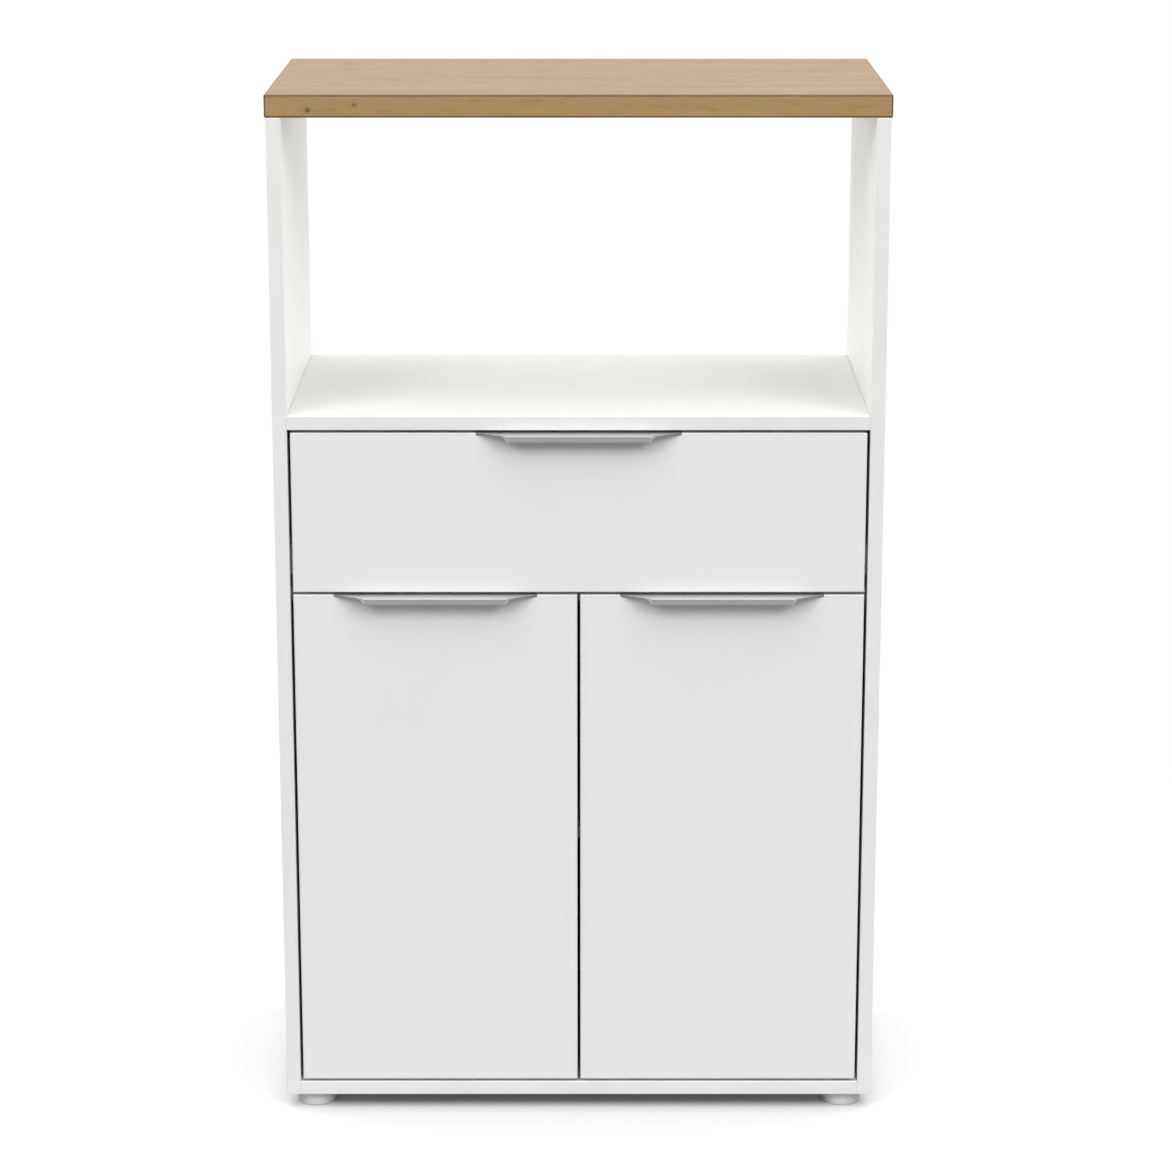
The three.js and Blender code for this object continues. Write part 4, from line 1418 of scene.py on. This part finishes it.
@dataclass
class Front:
    """A door or drawer front: a banded board, notched for the web of its pull.

    Its pockets are the holes in its back, beside those for the screws of the pull.
    """

    node: str
    pockets: Sequence[Pocket]
    arris: float = 0.7 * MM
    seam: float = 0.12 * MM
    notch_half: float = 100.3 * MM
    notch_depth: float = 2 * MM
    notch_corner: float = 0.15 * MM
    screw_hole: float = 1.8 * MM
    screw_depth: float = 8.3 * MM
    screw_drop: float = 10 * MM
    screw_out: float = 80 * MM

    def surface(self) -> Surface:
        """The board, carried along y. Its section is drawn in (z, x).

        Returns:
            Its faces.
        """
        (x0, y0, z0), (x1, y1, z1) = span_of(self.node)
        middle, floor = (x0 + x1) / 2, z1 - self.notch_depth
        left, right = middle - self.notch_half, middle + self.notch_half
        corners = [(z0, x0), (z1, x0), (z1, left), (floor, left), (floor, right), (z1, right),
                   (z1, x1), (z0, x1)]
        radii = [self.notch_corner if z == floor else self.arris for z, _ in corners]
        screws = [Pocket(circle(z1 - self.screw_drop, middle + x, self.screw_hole, 16),
                         self.screw_depth) for x in (-self.screw_out, self.screw_out)]
        return slab(rounded(corners, radii), y0, y1, Axis.Y, self.arris,
                    [*self.pockets, *screws], self.seam, finishes=BANDED)


@dataclass
class CupHinge(Part):
    """A single-pivot cup hinge: x in from the side panel, y back from the fronts, z its height.

    The cup is rounded at its foot, at its flange, at its mouth and inside round its floor. The ears
    are a length over both and a width, the arm a thickness and a width, the wings a length, a width
    and a thickness, and the block a length and a width. A screw is a radius and a height, and one
    in the arm also has its place behind the middle of the plate, which comes first.
    """

    side: Side
    level: Level
    cup_radius: float = 13 * MM
    cup_in: float = 21.017 * MM
    cup_front: float = 3.5 * MM
    rim: float = 2.2 * MM
    board: float = 14 * MM
    flange: float = 1 * MM
    wall: float = 0.7 * MM
    cup_roundings: tuple[float, float, float, float] = (1.5 * MM, 0.4 * MM, 0.6 * MM, 1.3 * MM)
    ear: tuple[float, float] = (44 * MM, 16 * MM)
    ear_start: float = 12.212 * MM
    ear_corners: tuple[float, float] = (5.5 * MM, 1.2 * MM)
    ear_screw: tuple[float, float] = (3.1 * MM, 1.2 * MM)
    ear_screw_inset: float = 4.6 * MM
    pivot: tuple[float, float] = (13.617 * MM, 7 * MM)
    pin_radius: float = 1.2 * MM
    bore: float = 1.5 * MM
    eye: float = 2.5 * MM
    edge: float = 0.3 * MM
    arm_radius: float = 14.517 * MM
    arm: tuple[float, float] = (2 * MM, 8 * MM)
    arm_start: float = 2 * MM
    arm_screws: tuple[tuple[float, float, float], ...] = (
        (-6 * MM, 2.6 * MM, 1.5 * MM), (7 * MM, 3.3 * MM, 1.5 * MM),
    )
    bend: float = 3 * MM
    plate_back: float = 51 * MM
    plate_height: float = 6.5 * MM
    wings: tuple[float, float, float] = (48 * MM, 18 * MM, 2 * MM)
    wing_screw: tuple[float, float] = (3.6 * MM, 1.6 * MM)
    wing_screw_out: float = 17 * MM
    block: tuple[float, float] = (30 * MM, 12 * MM)

    def cup(self) -> Surface:
        """The cup, its flange with two ears, and the screws in the ears.

        Returns:
            Their faces.
        """
        outer, rim, top = self.cup_radius, self.cup_radius + self.rim, self.board
        inner, depth = outer - self.wall, top + self.flange
        low, floor = self.cup_front, self.cup_front + self.wall
        foot, edge, mouth, well = self.cup_roundings
        whole = turned([
            [(0, low), (outer - foot, low)],
            arc(outer - foot, low + foot, foot, -90, 0, 5) + [(outer, top)],
            [(outer, top), (rim, top)],
            [(rim, top), (rim, depth - edge)],
            arc(rim - edge, depth - edge, edge, 0, 90, 3),
            [(rim - edge, depth), (inner + mouth, depth)],
            arc(inner + mouth, depth - mouth, mouth, 90, 180, 3) + [(inner, floor + well)],
            arc(inner - well, floor + well, well, 0, -90, 5) + [(0, floor)],
        ], Axis.Y, (self.cup_in, 0, 0), 56)
        length, width = self.ear
        round_end, square_end = self.ear_corners
        for sign, turn in ((-1, 50), (1, 15)):
            start, end = sorted((sign * self.ear_start, sign * length / 2))
            first, last = (square_end, round_end) if sign > 0 else (round_end, square_end)
            lobe = oblong((start, self.cup_in - width / 2), (end, self.cup_in + width / 2),
                          (first, last, last, first), 6)
            screw = screw_head(*self.ear_screw, turn)
            place = (self.cup_in, depth, sign * (length / 2 - self.ear_screw_inset))
            whole.add(slab(lobe, top, depth, Axis.Y, 0.25 * MM),
                      screw.placed(facing(Axis.Y), place))
        return whole

    def pin(self, length: float) -> Surface:
        """The pivot pin, with rounded ends.

        Args:
            length: Its length.

        Returns:
            Its faces.
        """
        r, half, e = self.pin_radius, length / 2, self.edge
        return turned([
            [(0, -half), (r - e, -half)],
            arc(r - e, -half + e, e, -90, 0, 3) + arc(r - e, half - e, e, 0, 90, 3),
            [(r - e, half), (0, half)],
        ], Axis.Z, (*self.pivot, 0), 20)

    def arm_line(self) -> np.ndarray:
        """The middle line of the arm, seen from above.

        It leaves the pivot along the cup, turns a quarter of a circle about the pivot, bends back
        and lies along the mounting plate.

        Returns:
            Its points (x, y).
        """
        px, py = self.pivot
        r, bend, leg = self.arm_radius, self.bend, self.plate_height + self.arm[0] / 2
        a = np.radians(np.linspace(0, 90, 15))
        b = np.radians(np.linspace(270, 180, 7))
        around = np.stack([px + r * np.cos(a), py + r * np.sin(a)], 1)
        back = np.stack([leg + bend + bend * np.cos(b), py + r + bend + bend * np.sin(b)], 1)
        end = (leg, self.plate_back + self.block[0] / 2)
        return np.concatenate([[(px + self.arm_start, py)], around, back, [end]])

    def arm_strip(self) -> Surface:
        """The arm without its eye: a strip of even thickness to both sides of its middle line.

        At each point the edge lies half the thickness, over the cosine of half the turn there,
        along the bisector of the turn.

        Returns:
            Its faces.
        """
        line, half = self.arm_line(), self.arm[0] / 2
        step = np.diff(line, axis=0)
        step /= np.linalg.norm(step, axis=1)[:, None]
        before, after = np.concatenate([step[:1], step]), np.concatenate([step, step[-1:]])
        along = before + after
        along /= np.linalg.norm(along, axis=1)[:, None]
        reach = half / (along * after).sum(axis=1)
        side = np.stack([along[:, 1], -along[:, 0]], axis=1) * reach[:, None]
        outline = np.concatenate([line + side, (line - side)[::-1]])
        radii = np.full(len(outline), 0.05 * MM)
        radii[[0, len(line) - 1, len(line), -1]] = 0.5 * MM
        width = self.arm[1] / 2
        return slab(rounded(outline, radii, 2), -width, width, Axis.Z, 0.35 * MM)

    def arm_surface(self) -> Surface:
        """The arm, its eye round the pin, and its two screws.

        Returns:
            Their faces.
        """
        whole, width = self.arm_strip(), self.arm[1] / 2
        bore, rim, e = self.bore, self.eye - self.edge, self.edge
        whole.add(turned([
            [(bore, -width), (rim, -width)],
            arc(rim, -width + e, e, -90, 0, 3) + arc(rim, width - e, e, 0, 90, 3),
            [(rim, width), (bore, width)],
            [(bore, width), (bore, -width)],
        ], Axis.Z, (*self.pivot, 0), 28))
        top = self.plate_height + self.arm[0]
        for back, radius, height in self.arm_screws:
            screw = screw_head(radius, height, 30)
            whole.add(screw.placed(facing(Axis.X), (top, self.plate_back + back, 0)))
        return whole

    def plate(self) -> Surface:
        """The cross-shaped mounting plate, with its two wood screws.

        Returns:
            Their faces.
        """
        length, width, thick = self.wings
        deep, high = self.block
        back = self.plate_back
        wing = oblong((back - width / 2, -length / 2), (back + width / 2, length / 2), 6 * MM, 6)
        spine = oblong((back - deep / 2, -high / 2), (back + deep / 2, high / 2), 1.2 * MM, 4)
        whole = slab(wing, 0.0, thick, Axis.X, 0.4 * MM)
        whole.add(slab(spine, 0.0, self.plate_height, Axis.X, 0.6 * MM))
        for sign in (-1, 1):
            screw = screw_head(*self.wing_screw, 35 * sign)
            whole.add(screw.placed(facing(Axis.X), (thick, back, sign * self.wing_screw_out)))
        return whole

    def build(self) -> None:
        """Makes the hinge: its cup rides on the door, the rest on the carcass."""
        prefix, door = f"{self.side.word}_{self.level.word}_hinge", f"{self.side.word}_door"
        plate = f"{prefix}_plate"
        fronts = span_of(f"{door}_panel")[0][1]
        origin = (face_of(plate, self.side.value), fronts, middle_of(plate)[2])
        turn = np.diag([1.0, 1.0, 1.0] if self.side is Side.LEFT else [-1.0, 1.0, -1.0])
        low, high = span_of(f"{prefix}_pin")
        shapes = {
            "cup": (self.cup(), door),
            "pin": (self.pin(high[2] - low[2]), body_of(f"{prefix}_pin")),
            "arm": (self.arm_surface(), "carcass"),
            "plate": (self.plate(), "carcass"),
        }
        for part, (surface, body) in shapes.items():
            self.bench.piece(f"{prefix}_{part}_finish", surface.placed(turn, origin),
                             self.finishes.steel, body, "plated_steel", [f"{prefix}_{part}"])


@dataclass
class Door(Part):
    """One inset door: its panel, its pull, its bumper and its two hinges."""

    side: Side
    pocket: float = 13.3 * MM
    pocket_floor: float = 3.2 * MM
    bumper_rounding: float = 1.4 * MM

    def build(self) -> None:
        """Makes the door's pieces."""
        body = f"{self.side.word}_door"
        node = f"{body}_panel"
        low, high = span_of(node)
        pockets = []
        for level in Level:
            hinge = CupHinge(self.bench, self.finishes, self.side, level)
            prefix = f"{self.side.word}_{level.word}_hinge"
            x = face_of(f"{prefix}_plate", self.side.value) - self.side.value * hinge.cup_in
            shape = circle(middle_of(f"{prefix}_cup")[2], x, self.pocket, 48)
            pockets.append(Pocket(shape, high[1] - low[1] - self.pocket_floor))
            hinge.build()
        self.white(f"{body}_board", Front(node, pockets).surface(), body, node)
        EdgePull(self.bench, self.finishes, body).build()
        self.bumper()

    def bumper(self) -> None:
        """Makes the soft stop on the rail behind the door's top corner: a low dome on its side."""
        node = f"{self.side.word}_door_bumper"
        low, high = span_of(node)
        radius, length, e = (high[2] - low[2]) / 2, high[1] - low[1], self.bumper_rounding
        x, _, z = middle_of(node)
        dome = turned([
            [(0, 0), (radius, 0)],
            [(radius, 0), (radius, length - e)],
            arc(radius - e, length - e, e, 0, 78, 6) + [(0, length)],
        ], Axis.Y, count=36).placed(np.diag([1.0, -1.0, 1.0]), (x, high[1], z))
        self.bench.piece(f"{self.side.word}_soft_stop", dome, self.finishes.rubber, "carcass",
                         "bumper_rubber", [node])


@dataclass
class Drawer(Part):
    """The drawer: its front and pull, a box of three boards, and a hardboard bottom."""

    groove: float = 6 * MM
    clear: float = 0.3 * MM
    arris: float = 0.5 * MM
    sheet_corner: float = 0.3 * MM
    sheet_arris: float = 0.2 * MM

    def build(self) -> None:
        """Makes the drawer's pieces."""
        self.front()
        for side in Side:
            self.box_side(side)
        rear = Board(*span_of("drawer_back"), Axis.Y, self.arris, 0.0).surface()
        self.white("drawer_back_board", rear, "drawer", "drawer_back")
        (a, b, w0), (c, d, w1) = span_of("drawer_bottom")
        sheet = slab(oblong((a, b), (c, d), self.sheet_corner), w0, w1, Axis.Z, self.sheet_arris)
        self.bench.piece("drawer_bottom_sheet", sheet, self.finishes.tray, "drawer", "hardboard",
                         ["drawer_bottom"])
        EdgePull(self.bench, self.finishes, "drawer").build()

    def front(self) -> None:
        """Makes the drawer front, grooved behind for the bottom."""
        low, high = span_of("drawer_bottom")
        shape = oblong((low[2], low[0] - self.clear), (high[2] + self.clear, high[0] + self.clear),
                       0.1 * MM, 1)
        surface = Front("drawer_front", [Pocket(shape, self.groove)]).surface()
        self.white("drawer_front_board", surface, "drawer", "drawer_front")

    def box_side(self, side: Side) -> None:
        """Makes a side of the box: its section in (z, x), grooved on the inside, along y.

        Args:
            side: The side of the drawer.
        """
        node = f"drawer_{side.word}_side"
        low, high = span_of(node)
        bottom = span_of("drawer_bottom")
        g0, g1 = bottom[0][2], bottom[1][2] + self.clear
        outer, inner = face_of(node, side.value), face_of(node, -side.value)
        deep = inner + side.value * self.groove
        corners = [(low[2], outer), (low[2], inner), (g0, inner), (g0, deep), (g1, deep),
                   (g1, inner), (high[2], inner), (high[2], outer)]
        if side is Side.RIGHT:
            corners = corners[::-1]
        at_edge = np.isin(np.array(corners)[:, 0], [low[2], high[2]])
        section = rounded(corners, np.where(at_edge, self.arris, 0.12 * MM), 3)
        board = slab(section, low[1], high[1], Axis.Y, 0.1 * MM, steps=1, finishes=(3, 0, 2, 3))
        self.white(f"{node}_board", board, "drawer", node)


@dataclass
class Runners(Part):
    """The two pairs of roller runners: rolled steel profiles, nylon rollers and screws.

    Screws are given by their shares of the runner's length, and each by its radius, its height
    and how far its cross turns over a whole length.
    """

    steel: float = 1.2 * MM
    bend: float = 0.45 * MM
    flange: float = 9 * MM
    gap: float = 12.5 * MM
    lip: float = 12 * MM
    outer_gap: float = 2.2 * MM
    roller: float = 11 * MM
    roller_half: float = 4 * MM
    bore: float = 2.3 * MM
    hub: float = 4 * MM
    rim: float = 8.6 * MM
    web_sink: float = 1.4 * MM
    axle: float = 2 * MM
    axle_head: float = 3.5 * MM
    head: float = 0.8 * MM
    side_gap: float = 0.4 * MM
    panel_screws: tuple[float, ...] = (0.24, 0.55, 0.86)
    panel_screw: tuple[float, float, float] = (3.4 * MM, 1.3 * MM, 90)
    side_screws: tuple[float, ...] = (0.3, 0.62)
    side_screw: tuple[float, float, float] = (3.2 * MM, 0.9 * MM, 70)

    def build(self) -> None:
        """Makes both pairs."""
        for side in Side:
            mirror = np.diag([float(-side.value), 1.0, 1.0])
            face = face_of(f"{side.word}_side_panel", -side.value)
            for part, body, shape in (
                ("cabinet_runner", "carcass", self.channel),
                ("drawer_runner", "drawer", self.rail),
            ):
                node = f"{side.word}_{part}"
                surface = shape(side).placed(mirror, (face, 0, 0))
                self.bench.piece(f"{node}_profile", surface, self.finishes.runner, body,
                                 "runner_steel", [node])
            for end in End:
                self.wheel(side, end)

    def profile(self, corners: Corners, y0: float, y1: float) -> Surface:
        """A rolled profile along y. The corners are (x in from the panel, z), anticlockwise."""
        section = rounded([(z, x) for x, z in corners][::-1], self.bend, 3)
        return slab(section, y0, y1, Axis.Y, 0.2 * MM, steps=2)

    def channel(self, side: Side) -> Surface:
        """The cabinet's runner: a C that opens inward, its front rivet and three screws.

        Args:
            side: The side panel that it is on.

        Returns:
            Its faces, x in from that panel.
        """
        low, high = span_of(f"{side.word}_cabinet_runner")
        z0, z1, t, f = low[2], high[2], self.steel, self.flange
        whole = self.profile([
            (0, z0), (f, z0), (f, z0 + t), (t, z0 + t), (t, z1 - t), (f, z1 - t), (f, z1), (0, z1),
        ], low[1], high[1])
        _, y, z = middle_of(f"{side.word}_front_roller")
        rivet = self.rivet(t, 1).moved(0, y, z)
        heads = self.screws(self.panel_screws, self.panel_screw, facing(Axis.X))
        ys = [low[1] + (high[1] - low[1]) * along for along in self.panel_screws]
        return whole.add(rivet, *(h.moved(t, y, (z0 + z1) / 2) for h, y in zip(heads, ys)))

    def rail(self, side: Side) -> Surface:
        """The drawer's runner: a Z with a lip under the drawer side, its rear rivet and screws.

        Args:
            side: The side of the drawer that it is on.

        Returns:
            Its faces, x in from the side panel.
        """
        low, high = span_of(f"{side.word}_drawer_runner")
        z0, z1, t, g = low[2], high[2], self.steel, self.gap
        whole = self.profile([
            (self.outer_gap, z1 - t), (g - t, z1 - t), (g - t, z0), (g + self.lip, z0),
            (g + self.lip, z0 + t), (g, z0 + t), (g, z1), (self.outer_gap, z1),
        ], low[1], high[1])
        _, y, z = middle_of(f"{side.word}_rear_roller")
        rivet = self.rivet(g - t, -1).moved(0, y, z)
        heads = self.screws(self.side_screws, self.side_screw, facing(Axis.Z, -1))
        ys = [low[1] + (high[1] - low[1]) * along for along in self.side_screws]
        return whole.add(rivet, *(h.moved(g + self.lip * 0.5, y, z0) for h, y in zip(heads, ys)))

    def screws(self, places: Sequence[float], screw: Sequence[float],
               stand: np.ndarray) -> list[Surface]:
        """The heads of a runner's screws, in the second finish.

        Args:
            places: Their shares of the runner's length.
            screw: Radius and height of a head, and the turn of its cross over a whole length.
            stand: The matrix that stands a head on its face.

        Returns:
            The heads, still at the origin.
        """
        radius, height, turn = screw
        heads = [screw_head(radius, height, turn * along) for along in places]
        return [head.placed(stand).finished(1) for head in heads]

    def rivet(self, start: float, towards: int) -> Surface:
        """A rivet along x that carries a roller and ends in a flat head.

        Args:
            start: The x of the steel that it stands on.
            towards: The sign of the direction that it points in.

        Returns:
            Its faces.
        """
        neck = 2 * self.roller_half + 2 * self.side_gap
        r, h, e, end = self.axle, self.axle_head, 0.2 * MM, neck + self.head
        shape = turned([
            [(r, -e), (r, neck)],
            [(r, neck), (h - e, neck)],
            arc(h - e, neck + e, e, -90, 0, 2) + arc(h - e, end - e, e, 0, 90, 3) + [(0, end)],
            [(0, -e), (r, -e)],
        ], Axis.X, count=24, finishes=[1, 1, 1, 1])
        return shape.placed(np.diag([float(towards), 1.0, 1.0]), (start, 0, 0))

    def cheek(self, tread: float, sign: int) -> list[list[tuple[float, float]]]:
        """One side of a roller, from its bore to its tread: the hub, the sunk web and the rim.

        Args:
            tread: Radius at which the tread begins.
            sign: The sign of the direction that the side looks in.

        Returns:
            Its runs, in the order for a turned profile.
        """
        hub, rim, w, fall = self.hub, self.rim, self.roller_half, 0.4 * MM
        web = w - self.web_sink
        line = [[(self.bore, w), (hub, w)], [(hub, w), (hub + fall, web)],
                [(hub + fall, web), (rim - fall, web)], [(rim - fall, web), (rim, w)],
                [(rim, w), (tread, w)]]
        runs = [[(a, sign * b) for a, b in run] for run in line]
        return runs if sign < 0 else [run[::-1] for run in runs[::-1]]

    def wheel(self, side: Side, end: End) -> None:
        """Makes a nylon roller: a rounded tread, a sunk web on each side, a hub round its rivet.

        Args:
            side: The side of the drawer.
            end: The end of the runners.
        """
        node = f"{side.word}_{end.word}_roller"
        w, e = self.roller_half, 1.0 * MM
        flat = self.roller - e
        tread = arc(flat, -w + e, e, -90, 0, 4) + arc(flat, w - e, e, 0, 90, 4)
        runs = [*self.cheek(flat, -1), tread, *self.cheek(flat, 1)]
        whole = turned([*runs, [(self.bore, w), (self.bore, -w)]], Axis.X, middle_of(node), 40)
        self.bench.piece(f"{side.word}_{end.word}_wheel", whole, self.finishes.nylon,
                         body_of(node), "runner_nylon", [node])


# ---------- Studio ----------


@dataclass(frozen=True)
class Lamp:
    """A soft rectangular lamp that faces a point of the cabinet."""

    name: str
    place: tuple[float, float, float]
    size: tuple[float, float]
    power: float
    target: tuple[float, float, float] = (0.0, 0.0, 0.55)

    def build(self) -> None:
        """Hangs the lamp. It turns by its tilt from straight down, then by its heading."""
        data = bpy.data.lights.new(self.name, "AREA")
        data.shape = "RECTANGLE"
        data.size, data.size_y = self.size
        data.energy = self.power
        lamp = bpy.data.objects.new(self.name, data)
        lamp.location = self.place
        x, y, z = np.array(self.place) - np.array(self.target)
        lamp.rotation_euler = (math.atan2(math.hypot(x, y), z), 0, math.atan2(x, -y))
        lamp.visible_camera = False
        bpy.context.scene.collection.objects.link(lamp)


@dataclass(frozen=True)
class Room:
    """A white room. Its light from each side is a strength times the square of the cosine.

    The strengths are those of the front, the back, the left, the right and the top.
    """

    light: tuple[float, ...] = (0.36, 0.05, 0.05, 0.05, 3.85)
    mirrored: tuple[float, ...] = (0.2, 0.9, 0.9, 0.9, 2.2)
    seen: Colour = (1.0, 1.0, 1.0)

    def build(self) -> None:
        """Makes the world. The camera sees it plain white."""
        g = Graph("studio", world=True)
        parts = g.node("ShaderNodeSeparateXYZ", {0: g.coordinates["Generated"]}).outputs
        ray = g.node("ShaderNodeLightPath").outputs
        total = 0.0
        sides = (("Y", -1.0), ("Y", 1.0), ("X", -1.0), ("X", 1.0), ("Z", 1.0))
        for (axis, sign), light, mirrored in zip(sides, self.light, self.mirrored):
            cosine = g.calc("MAXIMUM", g.calc("MULTIPLY", parts[axis], sign), 0.0)
            change = g.calc("MULTIPLY", ray["Is Glossy Ray"], mirrored - light)
            strength = g.calc("ADD", light, change)
            share = g.calc("MULTIPLY", g.calc("MULTIPLY", cosine, cosine), strength)
            total = g.calc("ADD", share, total)
        room = g.node("ShaderNodeBackground", {"Strength": total}).outputs[0]
        plain = g.node("ShaderNodeBackground", {"Color": (*self.seen, 1.0)}).outputs[0]
        looked = g.calc("MAXIMUM", ray["Is Camera Ray"], ray["Is Transmission Ray"])
        shown = g.node("ShaderNodeMixShader", {0: looked, 1: room, 2: plain}).outputs[0]
        g.node("ShaderNodeOutputWorld", {"Surface": shown})
        bpy.context.scene.world = g.owner


@dataclass(frozen=True)
class Floor:
    """A wide pale floor, white to the eye, that keeps the cabinet's shadow near it.

    The pairs are the distances, in metres, over which each change comes about.
    """

    colour: Colour = (0.64, 0.64, 0.64)
    mirrored: Colour = (0.15, 0.15, 0.15)
    bounce: Colour = (0.115, 0.115, 0.115)
    near_bounce: Colour = (0.3, 0.3, 0.3)
    glow: float = 0.05
    fade: tuple[float, float] = (0.45, 1.3)
    behind: tuple[float, float] = (0.3, 1.2)
    bounce_fade: tuple[float, float] = (0.3, 0.95)
    half: float = 12.0

    def material(self) -> bpy.types.Material:
        """Seen directly, a white matt floor that turns to plain white far away.

        A mirror sees it dark in front of the cabinet and plain white behind it. Light that
        bounces off it takes the bounce colours, with a faint glow that keeps the underside of
        the cabinet from being black. From below it is see-through.

        Returns:
            The material.
        """
        g = Graph("studio_floor")
        ray = g.node("ShaderNodeLightPath").outputs
        seen = g.mix(self.mirrored, self.colour, ray["Is Camera Ray"])
        matt = g.node("ShaderNodeBsdfDiffuse", {"Color": seen}).outputs[0]
        white = g.node("ShaderNodeEmission").outputs[0]
        away = g.vector("LENGTH", g.place).outputs["Value"]
        depth = g.node("ShaderNodeSeparateXYZ", {0: g.place}).outputs["Y"]
        behind, far = g.span(depth, *self.behind), g.span(away, *self.fade)
        fade = g.node("ShaderNodeMix", {0: ray["Is Camera Ray"], 2: behind, 3: far}).outputs[0]
        shown = g.node("ShaderNodeMixShader", {0: fade, 1: matt, 2: white}).outputs[0]
        bounced = g.mix(self.near_bounce, self.bounce, g.span(away, *self.bounce_fade))
        dim = g.node("ShaderNodeAddShader", {
            0: g.node("ShaderNodeBsdfDiffuse", {"Color": bounced}).outputs[0],
            1: g.node("ShaderNodeEmission", {"Strength": self.glow}).outputs[0],
        }).outputs[0]
        looked = g.calc("MAXIMUM", ray["Is Camera Ray"], ray["Is Glossy Ray"])
        looked = g.calc("MAXIMUM", looked, ray["Is Transmission Ray"])
        lit = g.node("ShaderNodeMixShader", {0: looked, 1: dim, 2: shown}).outputs[0]
        below = g.node("ShaderNodeNewGeometry").outputs["Backfacing"]
        clear = g.node("ShaderNodeBsdfTransparent").outputs[0]
        gone = g.calc("MULTIPLY", below, ray["Is Camera Ray"])
        whole = g.node("ShaderNodeMixShader", {0: gone, 1: lit, 2: clear}).outputs[0]
        g.node("ShaderNodeOutputMaterial", {"Surface": whole})
        return g.owner

    def build(self) -> None:
        """Lays the floor at z = 0."""
        h = self.half
        span = np.array([[(-h, -h, 0), (h, -h, 0)], [(-h, h, 0), (h, h, 0)]], float)
        surface = Surface()
        surface.add_grid(span, np.broadcast_to(np.array([0, 0, 1.0]), span.shape))
        floor = bpy.data.objects.new("studio_floor", surface.mesh("studio_floor"))
        floor.data.materials.append(self.material())
        bpy.context.scene.collection.objects.link(floor)


@dataclass
class Studio:
    """The camera at the photograph's place, a pale floor, and soft plain light."""

    camera: tuple[float, float, float] = (0.00717, -3.5117, 1.4196)
    pitch: float = 14.492
    lens: float = 108.018
    sensor: float = 36.0
    sight: float = 60.0
    lamps: tuple[Lamp, ...] = (
        Lamp("front_right_lamp", (2.2, -2.8, 3.0), (1.6, 1.6), 49.0),
        Lamp("front_left_lamp", (-2.2, -2.8, 3.0), (1.6, 1.6), 47.0),
        Lamp("rear_right_lamp", (3.4, 3.4, 1.0), (2.0, 1.4), 96.0, (0.0, 0.0, 0.85)),
        Lamp("rear_left_lamp", (-3.4, 3.4, 1.0), (2.0, 1.4), 92.0, (0.0, 0.0, 0.85)),
    )

    def build(self) -> None:
        """Sets up the view, the room, the floor and the lamps."""
        bpy.context.scene.view_settings.view_transform = "Standard"
        self.view()
        Room().build()
        Floor().build()
        for lamp in self.lamps:
            lamp.build()

    def view(self) -> None:
        """Sets up the camera, without shift or depth of field."""
        scene = bpy.context.scene
        data = bpy.data.cameras.new("camera")
        data.sensor_width = self.sensor
        data.lens = self.lens
        data.clip_end = self.sight
        camera = bpy.data.objects.new("camera", data)
        camera.location = self.camera
        camera.rotation_euler = (math.radians(90 - self.pitch), 0, 0)
        scene.collection.objects.link(camera)
        scene.camera = camera


def main() -> None:
    """Builds the cabinet in order, then the studio."""
    logging.basicConfig(level=logging.INFO, format="%(message)s")
    bench, finishes = Bench(), Finishes()
    parts = [
        Carcass(bench, finishes), Shelving(bench, finishes), Glides(bench, finishes),
        Door(bench, finishes, Side.LEFT), Door(bench, finishes, Side.RIGHT),
        Drawer(bench, finishes), Runners(bench, finishes),
    ]
    for part in parts:
        part.build()
    Studio().build()
    log.info("%d pieces", len(bench.made))


if __name__ == "__main__":
    main()
